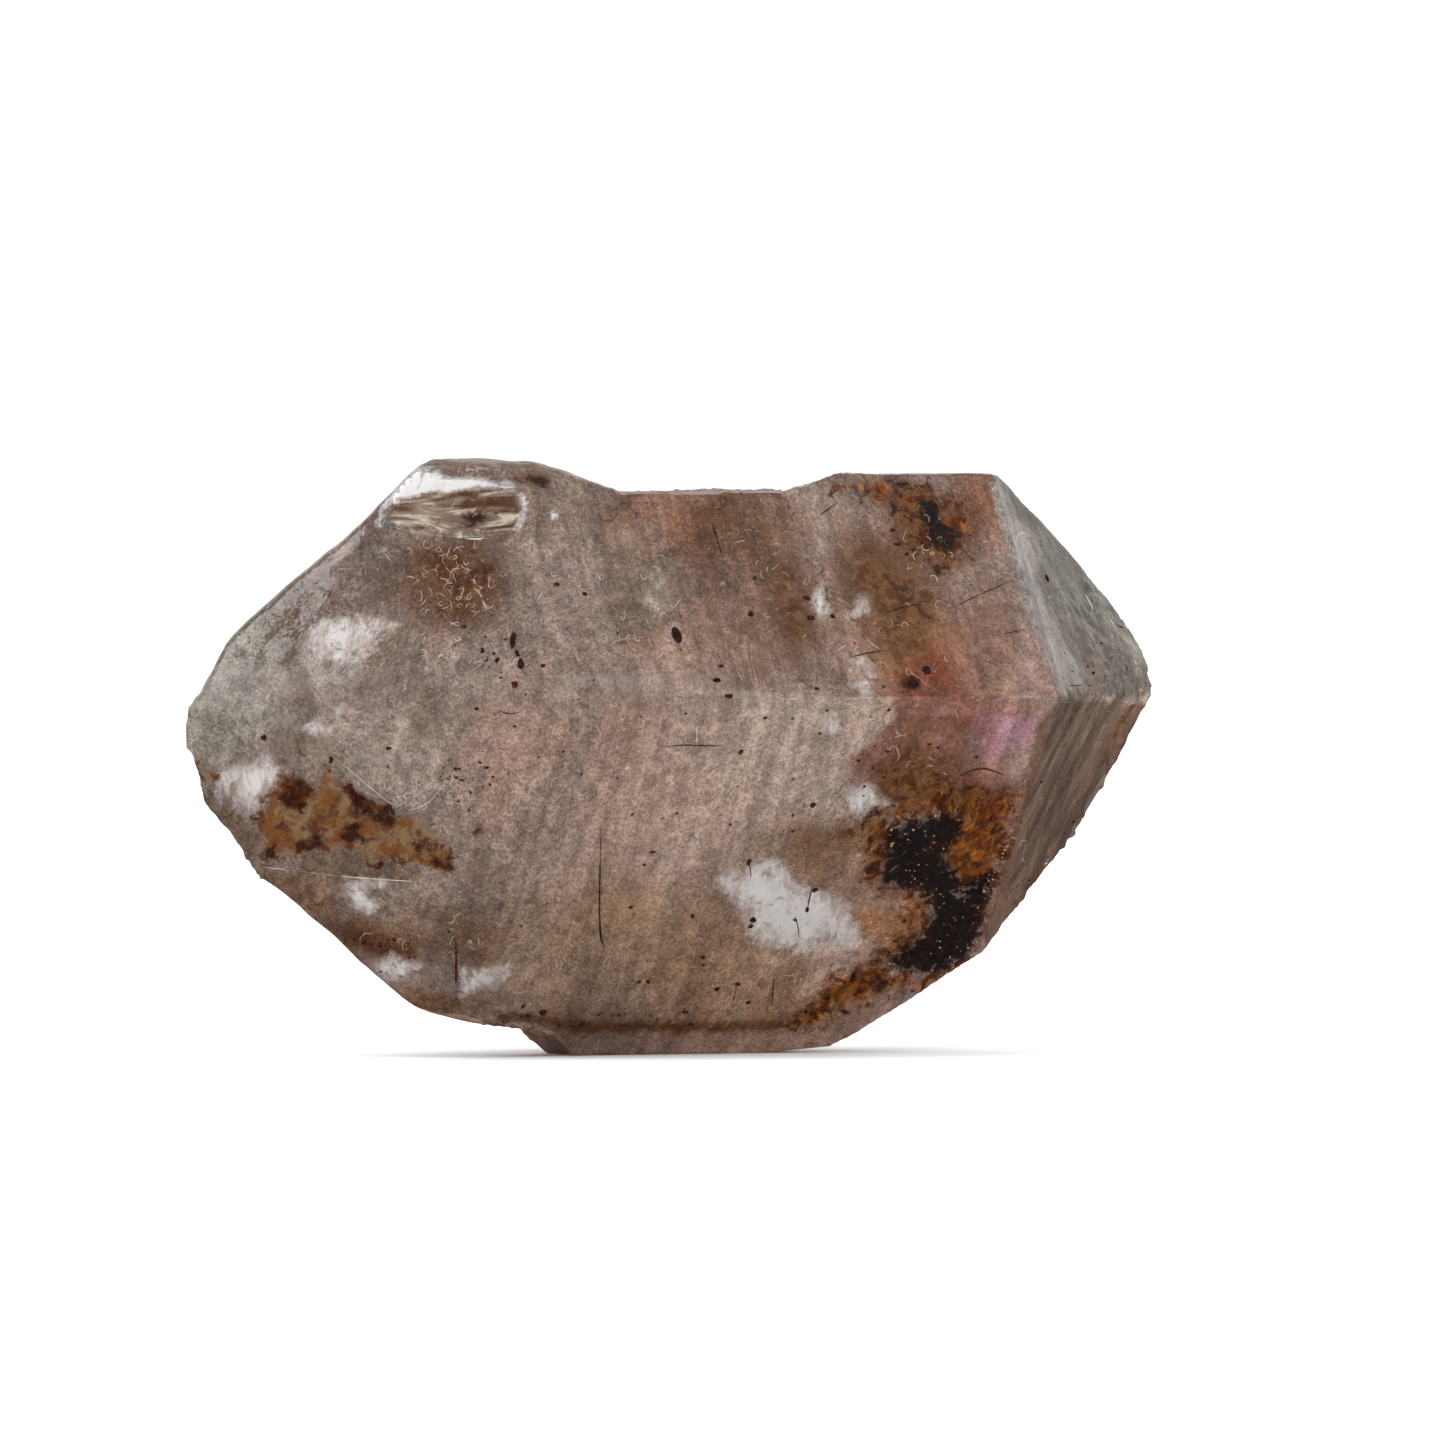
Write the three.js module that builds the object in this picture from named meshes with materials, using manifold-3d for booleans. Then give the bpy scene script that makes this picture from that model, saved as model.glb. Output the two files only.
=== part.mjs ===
// A smoky amethyst point: one quartz crystal with a point at each end, lying on a prism face.
// Millimetres. X runs along the crystal's long axis towards its sharp point, Z is up.

import * as THREE from 'three';
import { ConvexGeometry } from 'three/addons/geometries/ConvexGeometry.js';
import { mergeVertices } from 'three/addons/utils/BufferGeometryUtils.js';
import Module from 'manifold-3d';

const wasm = await Module();
wasm.setup();

// Driving dimensions. While the faces are laid out, Y = 0 is the crystal's front prism edge.
const frontEdgeHeight = 17.8;
const backEdgeHeight = 13;
const depth = 30.6;
const topHeight = 28.9;
const saddleHeight = 28;
const sidePointHeight = 29.6;
const pyramidTilt = 51.8;      // degrees between quartz's long axis and the normal of a pyramid face
const sharpEndStart = 22.1;    // X where the front prism edge meets the sharp point
const bluntEndStart = -6.6;    // X where it meets the blunt point
const sharpTipX = 34.6;
const tipY = 10.6;

const outsideReach = 80;       // larger than the crystal, for the far sides of cutting solids
const cornerTolerance = 1e-6;
const sameCorner = 1e-3;

const radians = THREE.MathUtils.degToRad;
const spot = (x, y, z) => new THREE.Vector3(x, y, z);

// A direction by compass degrees from +X towards +Y, and degrees above the horizon.
function facing(compass, rise) {
  const flat = Math.cos(radians(rise));
  return spot(flat * Math.cos(radians(compass)), flat * Math.sin(radians(compass)), Math.sin(radians(rise)));
}

// A prism face's normal: turn is 0 at the front and 90 on top.
function prismNormal(turn) {
  return spot(0, -Math.cos(radians(turn)), Math.sin(radians(turn)));
}

// A pyramid face's normal at the sharp end (+1) or the blunt end (-1).
function pyramidNormal(turn, end) {
  const outward = prismNormal(turn).multiplyScalar(Math.sin(radians(pyramidTilt)));
  return outward.setX(end * Math.cos(radians(pyramidTilt)));
}

function face(normal, point) {
  return new THREE.Plane().setFromNormalAndCoplanarPoint(normal, point);
}

// The corner where three faces meet, or null where two of them are parallel.
function cornerOf(a, b, c) {
  const bc = new THREE.Vector3().crossVectors(b.normal, c.normal);
  const ca = new THREE.Vector3().crossVectors(c.normal, a.normal);
  const ab = new THREE.Vector3().crossVectors(a.normal, b.normal);
  const volume = a.normal.dot(bc);
  if (Math.abs(volume) < cornerTolerance) {
    return null;
  }
  bc.multiplyScalar(-a.constant);
  ca.multiplyScalar(-b.constant);
  ab.multiplyScalar(-c.constant);
  return bc.add(ca).add(ab).divideScalar(volume);
}

function toManifold(geometry) {
  geometry.deleteAttribute('normal');
  geometry.deleteAttribute('uv');
  const merged = mergeVertices(geometry, sameCorner);
  return new wasm.Manifold(new wasm.Mesh({
    numProp: 3,
    vertProperties: new Float32Array(merged.attributes.position.array),
    triVerts: new Uint32Array(merged.index.array),
  }));
}

// The solid behind all of the faces given.
function crystalBody(faces) {
  const corners = [];
  for (let i = 0; i < faces.length; i += 1) {
    for (let j = i + 1; j < faces.length; j += 1) {
      for (let k = j + 1; k < faces.length; k += 1) {
        const corner = cornerOf(faces[i], faces[j], faces[k]);
        const inside = corner !== null
          && faces.every((plane) => plane.distanceToPoint(corner) < cornerTolerance);
        if (inside && corners.every((other) => other.distanceTo(corner) > sameCorner)) {
          corners.push(corner);
        }
      }
    }
  }
  return toManifold(new ConvexGeometry(corners));
}

// A rounded tool that takes a shell-shaped flake: it bites depthIn below the surface point.
function flakeTool(point, normal, radius, depthIn, stretch) {
  const ball = new THREE.SphereGeometry(radius, 72, 48);
  ball.scale(stretch, 1, 1);
  const centre = point.clone().addScaledVector(normal, radius - depthIn);
  ball.applyQuaternion(new THREE.Quaternion().setFromUnitVectors(spot(0, 0, 1), normal));
  ball.translate(centre.x, centre.y, centre.z);
  return toManifold(ball);
}

const frontEdge = spot(0, 0, frontEdgeHeight);
const backEdge = spot(0, depth, backEdgeHeight);

function prismFaces() {
  return [
    face(prismNormal(30), frontEdge),
    face(prismNormal(-30), frontEdge),
    face(prismNormal(90), spot(0, 0, topHeight)),
    face(prismNormal(-90), spot(0, 0, 0)),
    face(prismNormal(-41), spot(0, 9.5, 1.4)),      // narrow bevel beside the resting face
    face(prismNormal(152), backEdge),
    face(prismNormal(209), backEdge),
  ];
}

function sharpEndFaces() {
  const start = spot(sharpEndStart, 0, frontEdgeHeight);
  const tip = spot(sharpTipX, tipY, frontEdgeHeight);
  return [
    face(pyramidNormal(30, 1), start),
    face(pyramidNormal(-30, 1), start),
    face(pyramidNormal(150, 1), tip),
    face(pyramidNormal(210, 1), tip.clone().setX(sharpTipX + 0.4)),
    face(facing(-17, 51), spot(23.2, 7.2, 28.6)),   // upper slope
    face(facing(-7, 11), spot(34.2, 13.1, 21.4)),   // blunted tip
    face(facing(-10, -33), spot(28.5, 10.5, 9.5)),  // lower slope, nearest the tip
    face(facing(-15, -51), spot(21.8, 7.6, 4.6)),   // lower slope, middle
    face(facing(14, -53), spot(15.8, 9.8, 0.7)),    // lower slope, beside the resting face
    face(facing(-20, -85.5), spot(11.4, 11.2, 0)),  // the resting face lifts a little at this end
  ];
}

function bluntEndFaces() {
  const start = spot(bluntEndStart, 0, frontEdgeHeight);
  return [
    face(pyramidNormal(30, -1), start),
    face(pyramidNormal(-30, -1), start),
    face(facing(-112, 28), start.clone().add(spot(0.12, 0.3, -0.16))),   // worn edges of the blunt point
    face(facing(-112, -28), start.clone().add(spot(0.12, 0.3, 0.16))),
    face(facing(-94, 0), spot(5.5, 0, frontEdgeHeight)),                 // worn stretch of the front edge
    face(facing(-143, 23), spot(-12.6, 10.5, 26.5)),  // large upper slope at the left
    face(facing(-133, -30), spot(-15.9, 13.3, 9.2)),  // lower slope below the crisp edge
    face(facing(121, 46), spot(-12.1, 10.3, 26.7)),
    face(facing(119, 18), spot(-17.6, 13.6, 21.4)),
    face(facing(130, -11), spot(-20, 13.6, 16.9)),
    face(facing(129, -25), spot(-18.7, 13.7, 13)),
    face(facing(122, -40), spot(-16.1, 13.6, 9.1)),
  ];
}

// The side crystal that grew on the upper left shoulder, parallel to the main one.
function sidePoint() {
  const proud = 0.6;
  const slopeFace = pyramidNormal(30, -1);
  const prismFace = facing(-82, 30);
  return crystalBody([
    face(facing(-90, 88), spot(-6, 8, sidePointHeight)),
    face(slopeFace, spot(-8.4, 5.9, 25.2).addScaledVector(slopeFace, proud)),
    face(prismFace, spot(-3.6, 5.1, 26.6).addScaledVector(prismFace, proud)),
    face(facing(121, 41), spot(-8.9, 8.9, sidePointHeight)),
    face(facing(-160, -10), spot(-12, 10.2, 26.6)),
    face(facing(-115, -30), spot(-8.4, 5.9, 25.2)),
    face(facing(-70, -28), spot(-3.6, 5.1, 26.2)),
    face(facing(0, 71), spot(-0.1, 6, 28.2)),
    face(facing(0, -90), spot(0, 0, 24.5)),         // its root, inside the main crystal
    face(facing(70, 0), spot(0, 18, 26)),
  ]);
}

// The shallow saddle left between the side crystal and the plate on the upper right.
function saddle() {
  return crystalBody([
    face(facing(0, -90), spot(0, 0, saddleHeight)),
    face(facing(-168, -40), spot(-1.5, 6, saddleHeight)),
    face(facing(-32, -73), spot(9.7, 6, saddleHeight)),
    face(facing(-90, 0), spot(0, -outsideReach, 0)),
    face(facing(90, 0), spot(0, outsideReach, 0)),
    face(facing(0, 90), spot(0, 0, outsideReach)),
  ]);
}

// The broken underside at the blunt end, a step up from the resting face.
function undersideStep() {
  return crystalBody([
    face(facing(-30, 80), spot(-1.5, 10, 1.1)),
    face(facing(-15, 50), spot(-0.5, 10.6, 0.7)),
    face(facing(180, 0), spot(-outsideReach, 0, 0)),
    face(facing(-90, 0), spot(0, -outsideReach, 0)),
    face(facing(90, 0), spot(0, outsideReach, 0)),
    face(facing(0, -90), spot(0, 0, -outsideReach)),
  ]);
}

function breaks() {
  const lowerBlunt = pyramidNormal(-30, -1);
  const upperBlunt = pyramidNormal(30, -1);
  return [
    flakeTool(spot(-12.3, 6.7, 15.2), lowerBlunt, 9, 0.42, 1),        // petal on the blunt end
    flakeTool(spot(-16, 9.8, 15.6), lowerBlunt, 6, 0.3, 1.2),         // smaller flake beside it
    flakeTool(spot(-13.7, 8.3, 21), upperBlunt, 7, 0.2, 1),
    flakeTool(spot(-3.5, 9.4, 1.5), facing(-120, -50), 1.5, 0.5, 1.2), // notch by the resting face
    flakeTool(spot(34.2, 11, 17.2), facing(-30, -15), 1.4, 0.6, 1),   // knocked corner of the tip
    flakeTool(spot(10, depth - 3.7, 20), prismNormal(152), 14, 0.6, 1.3),  // old scars on the hidden side
    flakeTool(spot(-10, 19.4, 17), facing(119, 10), 9, 0.7, 1),
  ];
}

function crystalGeometry() {
  let body = crystalBody([...prismFaces(), ...sharpEndFaces(), ...bluntEndFaces()]);
  body = body.subtract(saddle());
  body = body.subtract(undersideStep());
  body = body.add(sidePoint());
  for (const tool of breaks()) {
    body = body.subtract(tool);
  }
  const mesh = body.getMesh();
  const geometry = new THREE.BufferGeometry();
  geometry.setAttribute('position', new THREE.BufferAttribute(new Float32Array(mesh.vertProperties), 3));
  geometry.setIndex(new THREE.BufferAttribute(new Uint32Array(mesh.triVerts), 1));
  geometry.computeBoundingBox();
  const middle = geometry.boundingBox.getCenter(new THREE.Vector3());
  geometry.translate(-middle.x, -middle.y, -geometry.boundingBox.min.z);
  return geometry;
}

const smokyAmethyst = new THREE.MeshStandardMaterial({ color: 0x967d73, roughness: 0.2, metalness: 0 });

const crystal = new THREE.Mesh(crystalGeometry(), smokyAmethyst);
crystal.name = 'crystal';

const point = new THREE.Group();
point.add(crystal);

export default point;
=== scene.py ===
"""A smoky amethyst point on a pale floor. Metres, +Z up, X along the crystal's long axis."""

import math
import random

import bpy
import numpy as np
from mathutils import Matrix, Vector, noise
from mathutils.bvhtree import BVHTree


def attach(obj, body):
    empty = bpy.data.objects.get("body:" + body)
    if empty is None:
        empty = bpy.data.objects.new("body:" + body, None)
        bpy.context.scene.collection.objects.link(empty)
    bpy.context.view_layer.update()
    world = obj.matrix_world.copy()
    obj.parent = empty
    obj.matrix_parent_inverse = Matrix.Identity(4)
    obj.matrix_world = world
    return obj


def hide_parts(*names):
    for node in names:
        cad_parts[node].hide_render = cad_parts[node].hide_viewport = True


bl_info = {
    "name": "Smoky Amethyst Point",
    "version": (1, 0, 0),
    "blender": (4, 5, 0),
    "location": "3D View > Sidebar > Crystal",
    "description": "Models a smoky amethyst crystal, what is sealed in it, and its stage",
    "category": "Add Mesh",
}

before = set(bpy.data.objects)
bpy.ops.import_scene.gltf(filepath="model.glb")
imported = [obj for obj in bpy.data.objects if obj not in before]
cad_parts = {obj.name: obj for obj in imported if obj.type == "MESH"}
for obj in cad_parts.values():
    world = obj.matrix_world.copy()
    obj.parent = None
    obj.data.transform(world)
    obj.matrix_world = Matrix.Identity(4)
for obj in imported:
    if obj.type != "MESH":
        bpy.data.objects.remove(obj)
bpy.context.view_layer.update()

MM = 0.001
NODE = "crystal"
BODY = "root"
QUARTZ_IOR = 1.544

FRAME_WIDTH = 72.25 * MM
FRAME_CENTRE_ACROSS = 4.08
FRAME_CENTRE_UP = 16.48
MIDDLE_UP = 15
LENS = 600
SENSOR = 36


class Sight:
    """A way of looking at the crystal: turn is 0 from the front, rise is degrees above level.

    In a mirrored sight, places have the same across as from the opposite side.
    """

    def __init__(self, turn, rise, mirrored=False):
        turn = math.radians(turn)
        rise = math.radians(rise)
        flat = math.cos(rise)
        self.back = Vector((math.sin(turn) * flat, -math.cos(turn) * flat, math.sin(rise)))
        self.across = Vector((math.cos(turn), math.sin(turn), 0))
        self.up = self.back.cross(self.across)
        if mirrored:
            self.across = -self.across
        distance = FRAME_WIDTH * LENS / SENSOR
        self.eye = self.on_plane(FRAME_CENTRE_ACROSS, FRAME_CENTRE_UP) + self.back * distance

    def on_plane(self, across, up):
        """The point on the plane through the origin at this place in the picture, in millimetres."""
        return (self.across * across + self.up * up) * MM


# The crystal is seen from the front left, with its blunt end nearer than its sharp end.
MAIN_SIGHT = Sight(-30, 0.7)
BACK_SIGHT = Sight(150, -0.7, mirrored=True)

# Colours of the quartz's zones.
COLOURS = {
    "mauve": (0.50, 0.385, 0.33),
    "rose": (0.62, 0.475, 0.41),
    "clay": (0.62, 0.465, 0.375),
    "beige": (0.73, 0.595, 0.50),
    "tan": (0.56, 0.395, 0.265),
    "honey": (0.33, 0.16, 0.055),
    "olive": (0.345, 0.225, 0.118),
    "brown": (0.25, 0.095, 0.02),
    "umber": (0.225, 0.102, 0.05),
    "russet": (0.175, 0.030, 0.007),
    "rosewood": (0.34, 0.15, 0.09),
    "heather": (0.385, 0.23, 0.18),
    "caramel": (0.46, 0.21, 0.075),
    "pink": (0.56, 0.27, 0.33),
    "pink_core": (0.635, 0.37, 0.49),
    "rose_streaks": (0.445, 0.21, 0.17),
    "lavender": (0.73, 0.63, 0.55),
    "mist": (0.28, 0.18, 0.11),
    "plum": (0.305, 0.235, 0.20),
    "ash": (0.64, 0.60, 0.515),
    "slope": (0.23, 0.20, 0.15),
    "smoke": (0.13, 0.072, 0.035),
    "sage": (0.375, 0.27, 0.20),
    "pale_sage": (0.86, 0.74, 0.59),
    "slate": (0.34, 0.35, 0.32),
    "strip": (0.53, 0.51, 0.48),
    "etched": (0.95, 0.85, 0.77),
    # pale grey with a painted sheen, for the sharp end's upper faces
    "sheen_grey_face": (0.255, 0.24, 0.20),
    # umber darkened with painted shade, for the sharp end's lower faces
    "umber_shade_face": (0.20, 0.115, 0.068),
    "dark_band": (0.10, 0.025, 0.004),
    # painted bluish-white glint
    "opal_glint": (0.92, 1.0, 1.0),
}


class CrystalSettings(bpy.types.PropertyGroup):
    haze: bpy.props.FloatProperty(
        name="Haze", description="Share of light that the milky outer layer scatters",
        default=0.24, min=0, max=1, subtype="FACTOR",
    )
    absorption: bpy.props.FloatProperty(
        name="Absorption", description="How strongly the quartz keeps light, for each metre",
        default=90, min=0,
    )
    body_colour: bpy.props.FloatVectorProperty(
        name="Body Colour", description="Colour of light that has passed through the quartz",
        default=(0.59, 0.445, 0.375), size=3, min=0, max=1, subtype="COLOR",
    )
    rust: bpy.props.FloatVectorProperty(
        name="Rust", description="Colour of thin iron staining",
        default=(0.36, 0.14, 0.02), size=3, min=0, max=1, subtype="COLOR",
    )
    iron_oxide: bpy.props.FloatVectorProperty(
        name="Iron Oxide", description="Colour of the solid dark grains",
        default=(0.012, 0.006, 0.005), size=3, min=0, max=1, subtype="COLOR",
    )


def settings():
    return bpy.context.scene.crystal_point


# Finding places on and in the crystal.


def faces_of(mesh):
    corners = [vertex.co.copy() for vertex in mesh.vertices]
    return BVHTree.FromPolygons(corners, [tuple(polygon.vertices) for polygon in mesh.polygons])


SOLID = faces_of(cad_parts[NODE].data)
# What lines of sight meet. The body operator puts the crystal's natural surface here.
SEEN = {"surface": SOLID}


def refracted(direction, normal):
    """The direction in which a ray goes on inside the quartz."""
    cosine = -direction.dot(normal)
    ratio = 1 / QUARTZ_IOR
    return direction * ratio + normal * (ratio * cosine - math.sqrt(1 - ratio ** 2 * (1 - cosine ** 2)))


def surface_at(across, up, sight=MAIN_SIGHT):
    """The surface point that shows at this place in the picture, its normal and the line of sight.

    A place just outside the crystal's outline is moved in towards the middle until it hits.
    """
    for step in range(50):
        share = 1 - step / 50
        aim = sight.on_plane(across * share, MIDDLE_UP + (up - MIDDLE_UP) * share)
        direction = (aim - sight.eye).normalized()
        point, _, _, _ = SEEN["surface"].ray_cast(sight.eye, direction)
        if point is not None:
            return point, SOLID.find_nearest(point)[1], direction
    raise ValueError("no part of the crystal is seen there")


def seen_at(across, up, depth, sight=MAIN_SIGHT):
    """The point inside that shows at this place, depth millimetres below the surface."""
    point, normal, direction = surface_at(across, up, sight)
    inward = refracted(direction, normal)
    return point + inward * (depth * MM / max(-inward.dot(normal), 0.5))


# Blender housekeeping.


def deselect_all():
    if bpy.context.mode != "OBJECT":
        bpy.ops.object.mode_set(mode="OBJECT")
    bpy.ops.object.select_all(action="DESELECT")


def make_active(piece):
    deselect_all()
    piece.select_set(True)
    bpy.context.view_layer.objects.active = piece


def apply_modifiers(piece):
    make_active(piece)
    for modifier in list(piece.modifiers):
        bpy.ops.object.modifier_apply(modifier=modifier.name)


def join(pieces, name):
    """One piece made of all of these, its place in its mesh."""
    deselect_all()
    for piece in pieces:
        piece.select_set(True)
    bpy.context.view_layer.objects.active = pieces[0]
    if len(pieces) > 1:
        bpy.ops.object.join()
    joined = bpy.context.object
    joined.name = name
    joined.data.name = name
    bpy.ops.object.transform_apply(location=True, rotation=True, scale=True)
    return joined


def finish_piece(piece, material):
    piece.data.materials.clear()
    piece.data.materials.append(material)
    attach(piece, BODY)


def place_against(piece, point, normal, turn=0, lean=0, swing=0):
    """Stands a piece's own Z on the normal, its X level, then turns, leans and swings it by degrees."""
    level = Vector((0, 0, 1)).cross(normal)
    level = Vector((1, 0, 0)) if level.length < 0.05 else level.normalized()
    basis = Matrix((level, normal.cross(level), normal)).transposed()
    tilt = (
        Matrix.Rotation(math.radians(swing), 3, "Y")
        @ Matrix.Rotation(math.radians(lean), 3, "X")
        @ Matrix.Rotation(math.radians(turn), 3, "Z")
    )
    piece.matrix_world = Matrix.Translation(point) @ (basis @ tilt).to_4x4()


# Node trees.


class Tree:
    """Adds nodes to a tree. An input is set to a number, a colour or another node's output."""

    def __init__(self, tree):
        self.tree = tree

    def add(self, kind, inputs, **choices):
        node = self.tree.nodes.new(kind)
        for name, choice in choices.items():
            setattr(node, name, choice)
        for name, value in inputs.items():
            self.set(node.inputs[name], value)
        return node

    def set(self, socket, value):
        if isinstance(value, bpy.types.NodeSocket):
            self.tree.links.new(value, socket)
        else:
            socket.default_value = value

    def math(self, operation, first, second=0.0):
        node = self.add("ShaderNodeMath", {}, operation=operation)
        self.set(node.inputs[0], first)
        self.set(node.inputs[1], second)
        return node.outputs[0]

    def noise(self, coords, scale, detail=4, roughness=0.55, distortion=0.0):
        inputs = {
            "Vector": coords, "Scale": scale, "Detail": detail,
            "Roughness": roughness, "Distortion": distortion,
        }
        return self.add("ShaderNodeTexNoise", inputs).outputs[0]

    def step(self, value, low, high, to_low=0.0, to_high=1.0):
        inputs = {
            "Value": value, "From Min": low, "From Max": high, "To Min": to_low, "To Max": to_high,
        }
        node = self.add("ShaderNodeMapRange", inputs, interpolation_type="SMOOTHSTEP")
        return node.outputs[0]

    def blend(self, share, first, second, how="MIX"):
        node = self.add("ShaderNodeMix", {}, data_type="RGBA", blend_type=how)
        self.set(node.inputs[0], share)
        self.set(node.inputs[6], first)
        self.set(node.inputs[7], second)
        return node.outputs[2]

    def number_blend(self, share, first, second):
        node = self.add("ShaderNodeMix", {}, data_type="FLOAT")
        self.set(node.inputs[0], share)
        self.set(node.inputs[2], first)
        self.set(node.inputs[3], second)
        return node.outputs[0]

    def stretched(self, coords, scale, turn=(0, 0, 0)):
        inputs = {"Vector": coords, "Scale": scale, "Rotation": turn}
        return self.add("ShaderNodeMapping", inputs).outputs[0]

    def object_coords(self):
        return self.add("ShaderNodeTexCoord", {}).outputs["Object"]

    def attribute(self, name, output="Fac"):
        return self.add("ShaderNodeAttribute", {}, attribute_name=name).outputs[output]


def new_material(name):
    """A material, its tree and its Principled shader's inputs."""
    material = bpy.data.materials.new(name)
    material.use_nodes = True
    shader = material.node_tree.nodes["Principled BSDF"]
    return material, Tree(material.node_tree), shader.inputs


def rgba(colour):
    return (*colour, 1)


# The crystal's own surface.


def smooth(low, high, value):
    t = np.clip((value - low) / (high - low), 0, 1)
    return t * t * (3 - 2 * t)


def depth_inside(outline, across, up):
    """How far each place is inside an outline. Outside it, the distance counts as negative."""
    distance = np.full(len(across), np.inf)
    inside = np.zeros(len(across), dtype=bool)
    for (x0, y0), (x1, y1) in zip(outline, outline[1:] + outline[:1]):
        along = ((across - x0) * (x1 - x0) + (up - y0) * (y1 - y0)) / ((x1 - x0) ** 2 + (y1 - y0) ** 2)
        along = np.clip(along, 0, 1)
        gap = np.hypot(across - x0 - along * (x1 - x0), up - y0 - along * (y1 - y0))
        distance = np.minimum(distance, gap)
        if y0 != y1:
            inside ^= ((y0 > up) != (y1 > up)) & (across < (x1 - x0) * (up - y0) / (y1 - y0) + x0)
    return np.where(inside, distance, -distance)


class Painter:
    """Weights over a mesh's points, set out on the picture's plane in millimetres.

    What is painted goes through to the far side, where it drifts out of place.
    """

    def __init__(self, mesh):
        count = len(mesh.vertices)
        self.place = np.empty(count * 3)
        mesh.vertices.foreach_get("co", self.place)
        self.place = self.place.reshape(count, 3) / MM
        self.normal = np.empty(count * 3)
        mesh.vertices.foreach_get("normal", self.normal)
        self.normal = self.normal.reshape(count, 3)
        self.facing = smooth(-0.02, 0.12, self.normal @ np.array(MAIN_SIGHT.back))
        self.drift = np.array([noise.noise_vector(Vector(point) * 0.45) for point in self.place])
        self.fine = np.array([noise.noise_vector(Vector(point) * 1.9) for point in self.place])
        stray = 2.4 * (1 - self.facing)
        self.across = self.place @ np.array(MAIN_SIGHT.across) + self.drift[:, 0] * stray
        self.up = self.place @ np.array(MAIN_SIGHT.up) + self.drift[:, 1] * stray

    def spot(self, across, up, half_width, half_height, turn=0, edge=0.35):
        """A soft-edged ellipse."""
        warp = self.drift * 0.8 + self.fine * 0.35
        right = self.across + warp[:, 0] - across
        above = self.up + warp[:, 1] - up
        cosine = math.cos(math.radians(turn))
        sine = math.sin(math.radians(turn))
        x = (right * cosine + above * sine) / half_width
        y = (above * cosine - right * sine) / half_height
        return 1 - smooth(1 - edge, 1 + edge, np.sqrt(x * x + y * y))

    def within(self, outline, edge):
        """1 inside an outline, 0 outside it, with an edge this soft."""
        level = depth_inside(outline, self.across + self.fine[:, 0] * 0.15, self.up + self.fine[:, 1] * 0.15)
        return smooth(-edge, edge, level)

    def deepest(self, outlines):
        """How far each point is inside the nearest of the outlines, from -3 mm up."""
        level = np.full(len(self.across), -3.0)
        for outline in outlines:
            level = np.maximum(level, depth_inside(outline, self.across, self.up))
        return level


# Bright cracks, and a few painted glints: depth, then the outline, across and up.
PEARL = (
    # star-shaped crack, low on the right
    (0.6, ((3.6, 8.9), (5.1, 9.2), (6.1, 9.8), (7, 9.6), (7.8, 8.6), (9.2, 8), (10.3, 7.5), (11.2, 5.7),
      (10.6, 5), (9.2, 5.3), (8.1, 5), (6.5, 5.3), (5.4, 5.6), (5, 7))),
    # large crack, upper left
    (0.5, ((-16.6, 21.1), (-15.9, 21.6), (-14.4, 21.8), (-12.8, 21.7), (-12, 21.4), (-13.2, 20.9),
      (-13.9, 20.1), (-14.5, 19.2), (-15.4, 19.6), (-16.2, 19.8))),
    # triangle by the left end
    (0.4, ((-21.1, 13.9), (-19.9, 14.6), (-18.3, 14.8), (-17.8, 13.8), (-18.6, 12.7), (-19.2, 11.8),
      (-20.1, 12.4), (-20.9, 13.3))),
    # below the crisp edge
    (0.3, ((-14.6, 8.8), (-12.2, 8.6), (-13.4, 8), (-12.9, 6.8), (-14.1, 7.2), (-14.5, 7.8))),
    # lower left
    (0.5, ((-13.3, 4.4), (-12.3, 5), (-10.8, 4.4), (-11.3, 3.8), (-12.7, 3.6))),
    # lower left, beside the upright crack
    (0.5, ((-8.9, 4.3), (-7.8, 4.2), (-6.5, 4.6), (-6.4, 3.5), (-7.8, 3.4), (-8.9, 2.8))),
    # painted glint: bright spot under the prism edge
    (0.3, ((8.7, 16.5), (9.0, 17.0), (9.6, 17.1), (9.95, 16.6), (9.8, 16.0), (9.2, 15.8))),
    # streaked, above the dark mass
    (0.5, ((10.3, 13.3), (11.3, 13.6), (11.9, 12.8), (12.8, 12.3), (11.7, 12.1), (11.1, 11.6),
      (10.4, 12.2))),
    # small, above the dark mass
    (0.4, ((13.2, 12.6), (14.2, 12.6), (14.5, 12.2), (13.7, 12.1))),
    # glint under the prism edge
    (0.4, ((10.5, 19.8), (11.3, 19.7), (11.7, 18.6), (10.9, 18.8))),
    # crumbs, upper right
    (0.3, ((8.8, 23.4), (9.2, 23.6), (9.2, 22.8), (9.4, 21.8), (8.7, 21.7), (8.6, 22.5))),
    # pale cloud, upper right
    (0.6, ((10.3, 21.5), (11.4, 22), (11.4, 22.8), (10.8, 22.7))),
    # crumbly ridge
    (0.1, ((-15.4, 17.4), (-14.4, 17.3), (-13.9, 17.1), (-14.6, 16.7), (-15.1, 16.5), (-15.3, 16.9))),
    # beside the petal
    (0.2, ((-16.8, 16.4), (-15.9, 16.5), (-15.2, 16.2), (-15.6, 15.7), (-16.4, 16))),
)
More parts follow.
